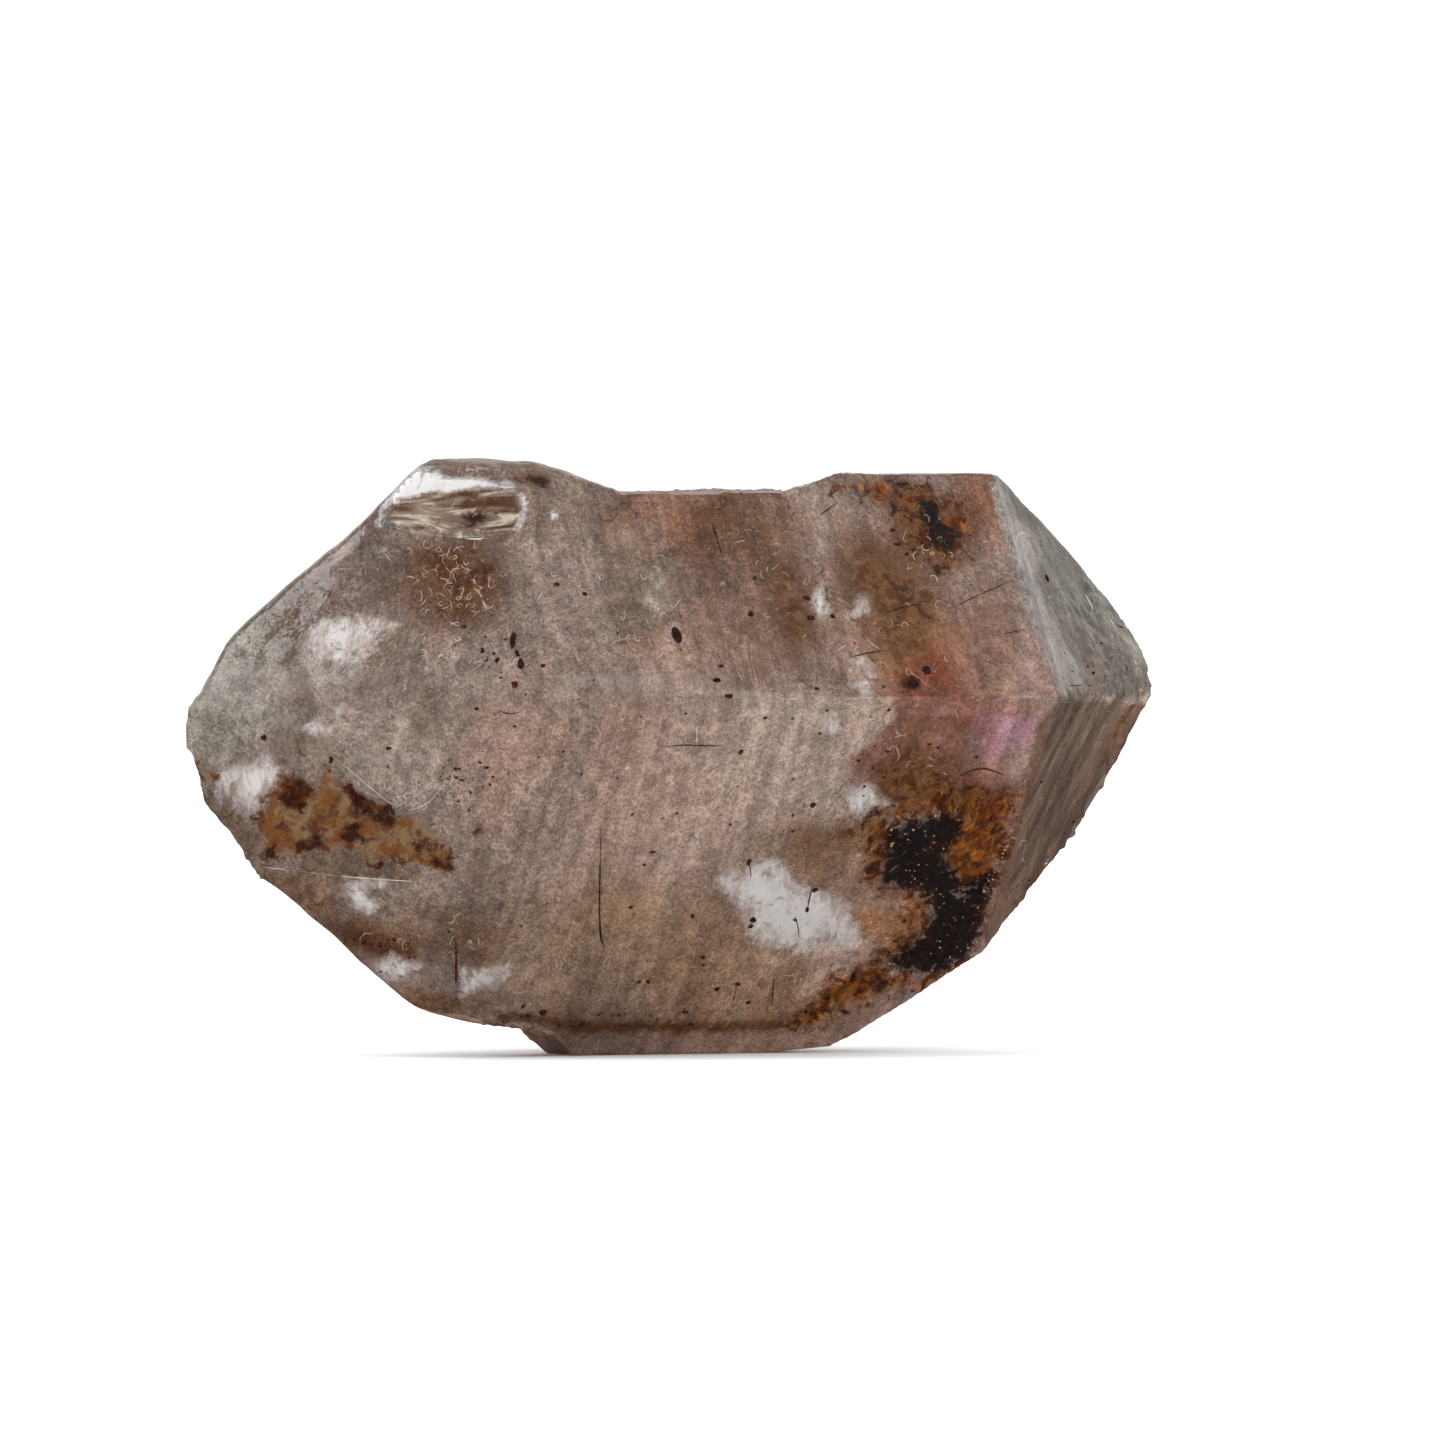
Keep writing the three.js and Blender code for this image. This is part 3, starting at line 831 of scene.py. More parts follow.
def film_group(name):
    """A node group that gives a film's colour, and its mask from how far inside its outline a point is."""
    colours, ragged, softness, strength = FINISHES[name]
    tree = bpy.data.node_groups.new(name + " film", "ShaderNodeTree")
    for text in ("Level", "Coarse", "Fine", "Streaks", "Level Lines"):
        tree.interface.new_socket(name=text, in_out="INPUT", socket_type="NodeSocketFloat")
    tree.interface.new_socket(name="Color", in_out="OUTPUT", socket_type="NodeSocketColor")
    tree.interface.new_socket(name="Mask", in_out="OUTPUT", socket_type="NodeSocketFloat")
    nodes = Tree(tree)
    given = nodes.add("NodeGroupInput", {}).outputs
    shift = nodes.math("MULTIPLY", nodes.math("SUBTRACT", given["Fine"], 0.5), ragged)
    level = nodes.math("ADD", given["Level"], shift)
    nodes.add("NodeGroupOutput", {
        "Color": colours(nodes, given), "Mask": nodes.step(level, -softness, softness, 0, strength),
    })
    return tree


def patterns(nodes, coords):
    """The noises that all films share."""
    return {
        "Coarse": nodes.noise(coords, 850, 3, 0.68, 0.8),
        "Fine": nodes.noise(coords, 1500, 4, 0.70, 0.6),
        "Streaks": nodes.noise(nodes.stretched(coords, (1, 1, 0.35), (0.2, 0.5, 0)), 1400, 4, 0.68, 1.0),
        "Level Lines": nodes.noise(nodes.stretched(coords, (0.12, 0.12, 0.8)), 2200, 3, 0.6, 1.1),
    }


def film(nodes, name, attribute, shared):
    """The colour and the mask of a film. The attribute says how far inside its outline a point is."""
    tree = bpy.data.node_groups.get(name + " film") or film_group(name)
    group = nodes.add("ShaderNodeGroup", {}, node_tree=tree)
    nodes.set(group.inputs["Level"], nodes.attribute(attribute))
    for text, value in shared.items():
        nodes.set(group.inputs[text], value)
    return group.outputs["Color"], group.outputs["Mask"]


def quartz_material():
    material, nodes, shader = new_material("smoky quartz")
    coords = nodes.object_coords()
    shared = patterns(nodes, coords)
    growth = nodes.noise(nodes.stretched(coords, (1, 0.07, 0.07)), 1100, 2, 0.62, 0.3)
    specks = nodes.noise(coords, 4200, 2, 0.6)
    grain = nodes.noise(coords, 7500, 1, 0.6)
    tint = nodes.attribute("tint", "Color")
    for pattern, low, high in ((shared["Coarse"], 0.84, 1.18), (shared["Fine"], 0.70, 1.32), (growth, 0.76, 1.26),
                               (grain, 0.66, 1.36)):
        tint = nodes.blend(1.0, tint, nodes.step(pattern, 0.3, 0.7, low, high), "MULTIPLY")
    contour = nodes.math("ABSOLUTE", nodes.math("SUBTRACT", nodes.noise(coords, 900, 2, 0.6, 1.6), 0.5))
    scratches = nodes.math("MULTIPLY", nodes.step(contour, 0.012, 0.0), nodes.step(shared["Streaks"], 0.46, 0.6, 0, 0.5))
    tint = nodes.blend(scratches, tint, (0.72, 0.64, 0.57, 1))
    facet_bands = nodes.noise(nodes.attribute("facet_grain", "Vector"), 1900, 3, 0.62, 0.2)
    banded = nodes.blend(1.0, tint, nodes.step(facet_bands, 0.38, 0.62, 0.58, 1.5), "MULTIPLY")
    tint = nodes.blend(nodes.attribute("banding"), tint, banded)
    for name in FILMS:
        colour, mask = film(nodes, name, name, shared)
        tint = nodes.blend(mask, tint, colour)
    # pale specks, partly painted glints, then dark specks
    tint = nodes.blend(nodes.step(specks, 0.68, 0.76, 0, 0.75), tint, (0.86, 0.80, 0.74, 1))
    tint = nodes.blend(nodes.step(specks, 0.30, 0.23, 0, 0.8), tint, (0.05, 0.025, 0.015, 1))
    nodes.set(shader["Base Color"], tint)
    frost = nodes.attribute("frost")
    roughness = nodes.math("ADD", nodes.math("MULTIPLY", frost, 0.3), 0.08)
    roughness = nodes.math("ADD", roughness, nodes.step(shared["Fine"], 0.4, 0.7, 0, 0.1))
    nodes.set(shader["Roughness"], roughness)
    group = nodes.add("ShaderNodeGroup", {}, node_tree=growth_lines_group())
    nodes.set(group.inputs["Vector"], coords)
    bump = nodes.add("ShaderNodeBump", {"Height": group.outputs["Height"], "Distance": 0.03 * MM, "Strength": 1.0})
    nodes.set(shader["Normal"], bump.outputs["Normal"])
    shader["IOR"].default_value = QUARTZ_IOR
    shader["Transmission Weight"].default_value = 1 - settings().haze
    inside = nodes.add("ShaderNodeVolumeAbsorption", {
        "Color": rgba(settings().body_colour), "Density": settings().absorption,
    })
    output = material.node_tree.nodes["Material Output"]
    nodes.set(output.inputs["Volume"], inside.outputs["Volume"])
    return material


def film_material(name, roughness):
    """A sheet of a film sealed in the crystal. It fades at its ragged edge."""
    material, nodes, shader = new_material(name + " film")
    colour, mask = film(nodes, name, "level", patterns(nodes, nodes.object_coords()))
    nodes.set(shader["Base Color"], colour)
    nodes.set(shader["Alpha"], mask)
    shader["Roughness"].default_value = roughness
    return material


def add_group(piece, name, weights):
    group = piece.vertex_groups.new(name=name)
    steps = np.clip(np.rint(weights * 20), 0, 20).astype(int)
    for step in range(1, 21):
        members = np.nonzero(steps == step)[0]
        if len(members):
            group.add(members.tolist(), step / 20, "REPLACE")


def displace(piece, name, texture_size, strength, group="", squeeze=None):
    """Pushes the surface in and out along its normals by a cloud texture of this size."""
    texture = bpy.data.textures.new(name, "CLOUDS")
    texture.noise_scale = texture_size
    texture.noise_depth = 2
    modifier = piece.modifiers.new(name, "DISPLACE")
    modifier.texture = texture
    modifier.strength = strength
    modifier.mid_level = 0.5
    modifier.vertex_group = group
    if squeeze is None:
        modifier.texture_coords = "LOCAL"
    else:
        modifier.texture_coords = "OBJECT"
        modifier.texture_coords_object = squeeze
    return modifier


def worn_weight(painter):
    """1 over the worn blunt end, 0 near the resting face and along the one edge that stayed crisp."""
    blunt = 1 - smooth(-3.5, 1.0, painter.across)
    top = smooth(-14.5, -12.5, painter.across) * smooth(24.5, 25.5, painter.up)
    crisp = 1 - smooth(0.5, 1.4, np.abs(painter.up - (8.9 - 0.09 * (painter.across + 15.0))))
    worn = blunt * (1 - 0.75 * top) * (1 - crisp * painter.facing) * smooth(0.6, 1.6, painter.place[:, 2])
    prism_edge = (1 - smooth(4.0, 8.0, painter.across)) * (1 - smooth(1.2, 2.8, np.abs(painter.up - 17.8)))
    return np.maximum(worn, prism_edge * painter.facing)


# Where the outline is rough: across, up, half width, half height, turn.
CHIPPED = (
    (8.6, 28.5, 1.8, 1.1, 0),
    (3.2, 28.1, 5.5, 0.35, 0),
    (24.9, 17.9, 1.2, 1.3, 0),
    (22.8, 17.8, 2.4, 0.4, 0),
    (22.7, 13.0, 4.4, 0.7, 62),
    (19.0, 7.9, 2.2, 0.6, 36),
    (-5.8, 1.3, 1.8, 0.9, 0),
    (-22.0, 14.6, 0.6, 3.0, 0),
)
# Where the faces swell: across, up, half width, half height, turn.
SWOLLEN = (
    (-21.8, 11.8, 1.8, 2.8, 10),
    (24.9, 20.6, 1.9, 2.8, 25),
)


def total_of(painter, spots, edge):
    weights = np.zeros(len(painter.across))
    for across, up, half_width, half_height, turn in spots:
        weights = np.maximum(weights, painter.spot(across, up, half_width, half_height, turn, edge))
    return weights


class CRYSTAL_OT_body(bpy.types.Operator):
    """Model the crystal's natural surface over the CAD solid"""
    bl_idname = "crystal.body"
    bl_label = "Crystal Body"

    def execute(self, context):
        deselect_all()
        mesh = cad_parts[NODE].data.copy()
        body = bpy.data.objects.new("quartz_body", mesh)
        context.scene.collection.objects.link(body)
        make_active(body)
        bpy.ops.object.mode_set(mode="EDIT")
        bpy.ops.mesh.select_all(action="SELECT")
        bpy.ops.mesh.remove_doubles(threshold=0.001 * MM)
        bpy.ops.mesh.normals_make_consistent(inside=False)
        bpy.ops.object.mode_set(mode="OBJECT")
        remesh = body.modifiers.new("surface cells", "REMESH")
        remesh.mode = "SHARP"
        remesh.octree_depth = 8
        remesh.scale = 0.86
        remesh.use_remove_disconnected = False
        apply_modifiers(body)
        painter = Painter(body.data)
        add_group(body, "worn", worn_weight(painter))
        for name, group, rounds in (("rounded edges", "", 2), ("worn ridges", "worn", 60)):
            smoothing = body.modifiers.new(name, "SMOOTH")
            smoothing.factor = 0.7
            smoothing.iterations = rounds
            smoothing.vertex_group = group
        apply_modifiers(body)
        painter = Painter(body.data)
        paint_tint(painter, body.data)
        paint_frost(painter, body.data)
        paint_films(painter, body.data)
        bpy.ops.object.empty_add(location=(0, 0, 0), scale=(1, 1, 1))
        line_space = context.object
        line_space.scale = (1, 12, 12)
        standing = smooth(0.1, 0.9, painter.place[:, 2])
        add_group(body, "above the resting face", standing)
        prism = (1 - smooth(0.15, 0.4, np.abs(painter.normal[:, 0]))) * standing
        add_group(body, "prism faces", prism)
        displace(body, "unevenness", 4 * MM, 0.25 * MM, "above the resting face")
        displace(body, "small unevenness", 1.1 * MM, 0.07 * MM, "above the resting face")
        displace(body, "growth lines", 0.8 * MM, 0.06 * MM, "prism faces", line_space)
        add_group(body, "chipped", total_of(painter, CHIPPED, 0.4) * standing)
        displace(body, "chips", 0.7 * MM, 0.5 * MM, "chipped")
        add_group(body, "swollen", total_of(painter, SWOLLEN, 0.8) * standing)
        swelling = body.modifiers.new("swelling", "DISPLACE")
        swelling.strength = 0.65 * MM
        swelling.mid_level = 0
        swelling.vertex_group = "swollen"
        apply_modifiers(body)
        bpy.data.objects.remove(line_space)
        make_active(body)
        bpy.ops.object.shade_smooth_by_angle(angle=math.radians(28))
        finish_piece(body, quartz_material())
        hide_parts(NODE)
        SEEN["surface"] = faces_of(body.data)
        return {"FINISHED"}


# What is sealed in the crystal. Places are across and up in the picture's plane, in millimetres.


def oval(across, up, half_width, half_height, turn=0):
    """The outline of an ellipse."""
    cosine = math.cos(math.radians(turn))
    sine = math.sin(math.radians(turn))
    outline = []
    for step in range(14):
        angle = math.tau * step / 14
        x = half_width * math.cos(angle)
        y = half_height * math.sin(angle)
        outline.append((across + x * cosine - y * sine, up + x * sine + y * cosine))
    return tuple(outline)


def sheet(outline, depth, dive=0.0, ripple=0.1, spacing=0.35, margin=0.5, sight=MAIN_SIGHT):
    """A thin wavy layer of this outline that follows the crystal's faces, this deep below them.

    It dives deeper towards its lower edge.
    """
    deselect_all()
    low = np.min(outline, axis=0) - margin
    high = np.max(outline, axis=0) + margin
    cells = np.maximum(np.ceil((high - low) / spacing), 2).astype(int)
    bpy.ops.mesh.primitive_grid_add(x_subdivisions=int(cells[0]), y_subdivisions=int(cells[1]), size=1)
    piece = bpy.context.object
    flat = np.array([(vertex.co.x, vertex.co.y) for vertex in piece.data.vertices])
    flat = low + (flat + 0.5) * (high - low)
    level = depth_inside(outline, flat[:, 0], flat[:, 1])
    bpy.ops.object.mode_set(mode="EDIT")
    bpy.ops.mesh.select_mode(type="VERT")
    bpy.ops.mesh.select_all(action="DESELECT")
    bpy.ops.object.mode_set(mode="OBJECT")
    for vertex, place, inside in zip(piece.data.vertices, flat, level):
        vertex.co = (place[0], place[1], 0)
        vertex.select = bool(inside < -margin)
    bpy.ops.object.mode_set(mode="EDIT")
    bpy.ops.mesh.delete(type="VERT")
    bpy.ops.object.mode_set(mode="OBJECT")
    places = [(vertex.co.x, vertex.co.y) for vertex in piece.data.vertices]
    attribute = piece.data.attributes.new("level", "FLOAT", "POINT")
    attribute.data.foreach_set("value", depth_inside(outline, *np.array(places).T))
    for vertex, (across, up) in zip(piece.data.vertices, places):
        wave = noise.noise(Vector((across, up, depth)) * 1.3) * ripple
        below = max(0.05, depth + dive * (high[1] - up) / (high[1] - low[1]) + wave)
        vertex.co = seen_at(across, up, below, sight)
    return piece


def dyed(piece, colour):
    """Gives a piece the colour that a shared material reads."""
    attribute = piece.data.color_attributes.new("dye", "FLOAT_COLOR", "POINT")
    for item in attribute.data:
        item.color = rgba(colour)
    return piece


def veil_material():
    """Faint clouds of tiny inclusions, in the colour that each layer carries."""
    material, nodes, shader = new_material("veil")
    coords = nodes.object_coords()
    fine = nodes.noise(coords, 2200, 5, 0.68, 0.3)
    shade = nodes.step(fine, 0.3, 0.7, 0.6, 1.35)
    nodes.set(shader["Base Color"], nodes.blend(1.0, nodes.attribute("dye", "Color"), shade, "MULTIPLY"))
    broad = nodes.math("MULTIPLY", nodes.math("SUBTRACT", nodes.noise(coords, 420, 4, 0.6, 0.7), 0.5), 7)
    cover = nodes.step(nodes.math("ADD", nodes.attribute("level"), broad), 0, 2.5)
    nodes.set(shader["Alpha"], nodes.math("MULTIPLY", cover, nodes.step(fine, 0.25, 0.7, 0.05, 0.55)))
    shader["Roughness"].default_value = 0.8
    return material


def films_of(rows, name, kind, roughness, sights=(MAIN_SIGHT,)):
    """One piece made of a sheet for each row."""
    _, ragged, softness, _ = FINISHES[kind]
    sheets = []
    for sight in sights:
        for depth, outline in rows:
            sheets.append(sheet(outline, depth, margin=ragged * 0.2 + softness, sight=sight))
    piece = join(sheets, name)
    finish_piece(piece, film_material(kind, roughness))
    return piece


class CRYSTAL_OT_iron_stains(bpy.types.Operator):
    """Lay the rusty films under the surface"""
    bl_idname = "crystal.iron_stains"
    bl_label = "Iron Stains"

    def execute(self, context):
        films_of(RUST, "iron_stains", "rust", 0.7)
        films_of([(0.25, outline) for outline in BLOTCH], "dark_blotches", "blotch", 0.6)
        films_of(CLOUD, "brown_clouds", "cloud", 0.8)
        return {"FINISHED"}


class CRYSTAL_OT_oxide_mass(bpy.types.Operator):
    """Build the dark iron-oxide mass with its amber halo and golden specks"""
    bl_idname = "crystal.oxide_mass"
    bl_label = "Iron Oxide Mass"

    def execute(self, context):
        films_of(OXIDE, "oxide_mass", "oxide", 0.45)
        films_of(AMBER, "amber_halo", "amber", 0.5)
        gold = join(golden_specks(90), "golden_specks")
        finish_piece(gold, plain_material("golden specks", (0.60, 0.33, 0.14)))
        return {"FINISHED"}


def golden_specks(count):
    """Bright grains scattered over the dark mass."""
    dice = random.Random(4)
    specks = []
    while len(specks) < count:
        _, outline = dice.choice(OXIDE[:3])
        low = np.min(outline, axis=0)
        high = np.max(outline, axis=0)
        across = dice.uniform(low[0], high[0])
        up = dice.uniform(low[1], high[1])
        if depth_inside(outline, np.array([across]), np.array([up]))[0] < 0:
            continue
        size = dice.choice((0.03, 0.03, 0.04, 0.06))
        specks.append(fleck(across, up, size * dice.uniform(1, 3), size * dice.uniform(1, 2)))
    return specks


class CRYSTAL_OT_pearly_cracks(bpy.types.Operator):
    """Open the bright cracks inside, and lay the painted glints under the side crystal"""
    bl_idname = "crystal.pearly_cracks"
    bl_label = "Pearly Cracks"

    def execute(self, context):
        films_of(PEARL, "pearly_cracks", "pearl", 0.3)
        # painted reflections under the side crystal
        films_of(GLINT, "painted_crack_glints", "glint", 0.1)
        films_of(STREAKED, "streaked_window", "streaked", 0.3)
        return {"FINISHED"}


# Dark hairs: radius, then the places that each runs through.
HAIRS = (
    (0.045, ((15.7, 22.3), (17.2, 23.0), (18.6, 23.6))),
    (0.04, ((18.1, 20.9), (18.7, 21.0), (19.2, 21.15))),
    (0.05, ((8.9, 26.8), (9.4, 27.2), (9.9, 27.5))),
    (0.05, ((15.9, 13.8), (16.4, 14.0), (16.9, 14.3), (17.6, 14.1), (18.3, 13.8))),
    (0.05, ((6.65, 3.7), (6.6, 3.0), (6.55, 2.3))),
    (0.05, ((10.4, 19.7), (11.2, 20.0), (12.5, 20.1))),
    (0.05, ((-2.0, 11.2), (-2.05, 9.0), (-2.1, 6.5), (-2.0, 5.4), (-1.7, 4.8))),
    (0.09, ((-9.25, 5.6), (-9.2, 4.2), (-9.25, 3.2), (-9.3, 2.0))),
    (0.035, ((0.9, 15.25), (1.6, 15.3), (2.1, 15.4), (3.5, 15.3), (4.2, 15.3))),
    (0.04, ((2.1, 15.4), (2.15, 15.8))),
    (0.06, ((8.6, 8.4), (8.45, 7.8), (8.3, 7.0))),
    (0.06, ((5.4, 9.5), (5.5, 9.1), (5.5, 8.7))),
    (0.05, ((7.7, 6.8), (7.9, 6.3), (7.9, 5.7))),
    (0.05, ((4.8, 3.3), (4.7, 2.9), (4.6, 2.6))),
    (0.05, ((-15.3, 23.4), (-15.5, 22.9), (-15.8, 22.4))),
    (0.04, ((-7.4, 17.3), (-7.0, 16.9), (-6.3, 16.8), (-5.9, 17.1))),
    (0.05, ((12.2, 21.9), (13.0, 22.3), (14.0, 22.4))),
    (0.06, ((3.5, 26.6), (3.6, 26.2), (3.9, 25.4), (4.1, 24.7))),
    (0.05, ((23.2, 21.5), (23.9, 21.4), (24.4, 21.1), (25.0, 21.0))),
    (0.06, ((24.2, 19.4), (24.3, 19.2), (24.4, 18.9))),
    (0.04, ((21.4, 18.3), (22.1, 18.4), (22.6, 18.3))),
)
# Pale lines, the same way: etched lines and a few painted glints.
PALE_LINES_AND_GLINTS = (
    (0.02, ((-18.9, 9.25), (-16.6, 9.0), (-14.8, 8.75), (-12.6, 8.6), (-10.8, 8.5))),
    (0.05, ((2.15, 16.9), (2.15, 15.7))),
    (0.045, ((0.3, 16.7), (0.25, 15.0))),
    (0.04, ((0.15, 14.9), (0.1, 13.9))),
    (0.04, ((2.8, 16.5), (2.8, 15.2))),
    (0.009, ((10.7, 21.2), (11.3, 20.8), (11.5, 20.3), (12.0, 20.2), (12.6, 19.6))),
    (0.009, ((13.2, 19.4), (13.6, 18.8), (13.9, 18.9), (14.2, 18.3), (14.7, 18.1))),
    (0.02, ((19.1, 24.2), (18.7, 24.8), (18.7, 25.7), (19.0, 26.1), (19.4, 25.9), (19.5, 25.3))),
    (0.012, ((-15.6, 14.9), (-13.8, 13.6), (-13.0, 12.6), (-12.2, 12.3))),
    (0.012, ((-11.6, 12.1), (-10.9, 12.2), (-10.3, 12.6), (-9.9, 13.4))),
    # painted glints on the sharp end
    (0.08, ((22.2, 22.9), (22.5, 22.4), (22.6, 22.1))),
    (0.06, ((23.2, 21.9), (23.5, 21.6), (23.7, 21.3))),
    (0.09, ((21.7, 20.9), (21.85, 20.1))),
    (0.06, ((-1.0, 10.8), (-0.7, 10.5))),
    # painted glint below the gold streaks
    (0.06, ((-7.6, 25.7), (-8.4, 25.6), (-9.2, 25.75))),
    (0.05, ((-12.2, 26.2), (-11.0, 25.9), (-9.0, 25.6), (-7.0, 25.9), (-5.2, 26.4))),
)


def strands(rows, name, material):
    """One piece of round lines just under the surface, thin at both ends."""
    deselect_all()
    curve = bpy.data.curves.new(name, "CURVE")
    curve.dimensions = "3D"
    curve.bevel_depth = 0.05 * MM
    curve.bevel_resolution = 1
    curve.resolution_u = 5
    curve.use_fill_caps = True
    for radius, points in rows:
        spline = curve.splines.new("NURBS")
        spline.points.add(len(points) - 1)
        for index, (across, up) in enumerate(points):
            at_end = index in (0, len(points) - 1)
            spline.points[index].co = (*seen_at(across, up, radius * 0.3), 1)
            spline.points[index].radius = radius / 0.05 * (0.35 if at_end else 1.0)
        spline.order_u = min(4, len(points))
        spline.use_endpoint_u = True
    piece = bpy.data.objects.new(name, curve)
    bpy.context.scene.collection.objects.link(piece)
    make_active(piece)
    bpy.ops.object.convert(target="MESH")
    piece = bpy.context.object
    finish_piece(piece, material)
    return piece


def fibre_bundle():
    """Wavy brown fibres that run down across the upper face."""
    dice = random.Random(9)
    runs = [((3.6, 23.8), (4.4, 18.0)), ((5.2, 23.8), (6.4, 17.8)), ((3.5, 21.5), (4.3, 18.4))]
    for step in range(13):
        across = 4.9 + 0.13 * step
        top = (across - dice.uniform(0.3, 0.6), 20.4 + dice.uniform(-1, 1))
        runs.append((top, (across, 17.7 + dice.uniform(0, 0.7))))
    rows = []
    for top, low in runs:
        points = []
        for step in range(6):
            share = step / 5
            across = top[0] + (low[0] - top[0]) * share + dice.uniform(-0.06, 0.06)
            points.append((across, top[1] + (low[1] - top[1]) * share))
        rows.append((dice.uniform(0.03, 0.06), points))
    return rows


# Where the surface is etched in worm-like lines: across, up, half width, half height, count.
ETCHED = (
    (-9.0, 23.6, 3.4, 2.6, 100),
    (0.0, 20.8, 2.6, 1.6, 22),
    (-9.6, 19.9, 2.2, 1.5, 18),
    (9.0, 23.0, 2.2, 2.4, 16),
    (12.0, 20.6, 3.6, 3.0, 26),
    (14.4, 24.6, 1.6, 1.3, 16),
    (5.8, 24.4, 2.2, 2.2, 14),
    (-2.2, 24.6, 3.2, 2.2, 14),
    (21.0, 21.6, 1.6, 2.4, 8),
    (-10.2, 13.0, 2.2, 1.4, 18),
    (13.0, 15.6, 3.2, 2.2, 22),
    (-4.2, 12.6, 3.2, 4.4, 18),
    (4.2, 14.4, 4.6, 3.2, 18),
    (-13.4, 16.6, 3.4, 2.0, 16),
    (-10.0, 6.0, 5.0, 2.4, 22),
    (3.0, 6.0, 6.0, 3.6, 22),
    (19.6, 9.6, 1.4, 3.4, 12),
)


def etched_lines(seed, share):
    """Short curled lines in the etched places."""
    dice = random.Random(seed)
    rows = []
    for across, up, half_width, half_height, count in ETCHED:
        for _ in range(round(count * share)):
            x = across + dice.gauss(0, 0.5) * half_width
            y = up + dice.gauss(0, 0.5) * half_height
            heading = dice.uniform(0, math.tau)
            curl = dice.uniform(-0.8, 0.8)
            points = [(x, y)]
            for _ in range(dice.randint(3, 8)):
                heading += curl + dice.uniform(-0.5, 0.5)
                x += 0.085 * math.cos(heading)
                y += 0.085 * math.sin(heading)
                points.append((x, y))
            rows.append((dice.uniform(0.008, 0.018), points))
    return rows


class CRYSTAL_OT_hairs(bpy.types.Operator):
    """Grow the hair-thin dark needles and fibres, and pale etched lines with their painted shadows and a few painted
    glints
    """
    bl_idname = "crystal.hairs"
    bl_label = "Hairs"

    def execute(self, context):
        strands(HAIRS, "dark_hairs", dark_material())
        strands(fibre_bundle(), "brown_fibres", plain_material("brown fibres", (0.16, 0.085, 0.05)))
        strands(PALE_LINES_AND_GLINTS, "pale_lines_and_glints", plain_material("pale lines and glints", (0.74, 0.64, 0.56)))
        strands(etched_lines(3, 1.0), "etched_lines", plain_material("etched lines", (0.50, 0.41, 0.34)))
        strands(etched_lines(8, 0.7), "etched_shadows", plain_material("etched shadows", (0.09, 0.05, 0.035)))
        return {"FINISHED"}


def plain_material(name, colour):
    """One colour with a little grain, for the smallest things."""
    material, nodes, shader = new_material(name)
    grain = nodes.noise(nodes.object_coords(), 3000, 4, 0.6)
    varied = nodes.blend(1.0, rgba(colour), nodes.step(grain, 0.3, 0.7, 0.7, 1.15), "MULTIPLY")
    nodes.set(shader["Base Color"], varied)
    shader["Roughness"].default_value = 0.5
    return material


def scatter_nicks(count):
    """Tiny bright chips in the surface, all over the crystal; their white is partly painted glints."""
    dice = random.Random(21)
    chips = []
    while len(chips) < count:
        direction = Vector((dice.gauss(0, 1), dice.gauss(0, 1), dice.gauss(0, 1))).normalized()
        aim = Vector((dice.uniform(-20, 20), dice.uniform(-9, 9), dice.uniform(5, 25))) * MM
        point, normal, _, _ = SEEN["surface"].ray_cast(aim + direction * 0.1, -direction)
        if point is None or point.z < 0.6 * MM:
            continue
        bpy.ops.mesh.primitive_ico_sphere_add(subdivisions=1, radius=0.5 * MM)
        chip = bpy.context.object
        width = dice.choice((0.04, 0.05, 0.06, 0.09))
        chip.scale = (width * dice.uniform(1.2, 4.5), width, 0.04)
        bpy.ops.object.transform_apply(location=False, rotation=False, scale=True)
        place_against(chip, point - normal * 0.02 * MM, normal, dice.uniform(0, 180))
        chips.append(chip)
    return chips


class CRYSTAL_OT_nicks(bpy.types.Operator):
    """Chip the surface with small pale nicks, partly painted glints"""
    bl_idname = "crystal.nicks"
    bl_label = "Nicks"

    def execute(self, context):
        deselect_all()
        piece = join(scatter_nicks(420), "bright_nicks_and_glints")
        finish_piece(piece, plain_material("bright nicks and glints", (0.95, 0.90, 0.84)))
        return {"FINISHED"}


# Clouds: across, up, half width, half height, turn, depth, colour.
VEILS = (
    (-4.5, 15.0, 17.0, 13.0, 0, 1.6, "mauve"),
    (-0.2, 23.6, 1.8, 3.4, 0, 0.8, "sage"),
    (-3.4, 21.5, 2.6, 5.5, 0, 1.5, "rose"),
    (17.6, 21.0, 2.6, 3.6, -14, 1.0, "heather"),
    (18.3, 15.6, 2.2, 2.6, 0, 0.8, "pink"),
    (6.8, 13.6, 5.0, 4.0, 0, 1.8, "beige"),
    (-2.0, 10.0, 5.0, 7.0, 0, 2.2, "mauve"),
    (-12.4, 15.2, 4.4, 3.4, -20, 0.9, "lavender"),
    (-13.0, 24.2, 3.6, 2.6, 20, 1.0, "plum"),
    (-19.5, 18.8, 3.4, 4.4, 35, 1.0, "slope"),
    (23.0, 20.5, 2.4, 5.0, 30, 0.8, "sage"),
)


class CRYSTAL_OT_veils(bpy.types.Operator):
    """Hang the faint clouds under the faces"""
    bl_idname = "crystal.veils"
    bl_label = "Veils"

    def execute(self, context):
        layers = []
        for across, up, half_width, half_height, turn, depth, colour in VEILS:
            outline = oval(across, up, half_width, half_height, turn)
            layer = sheet(outline, depth, dive=1.5, ripple=0.5, spacing=0.6)
            layers.append(dyed(layer, COLOURS[colour]))
        piece = join(layers, "veils")
        finish_piece(piece, veil_material())
        return {"FINISHED"}


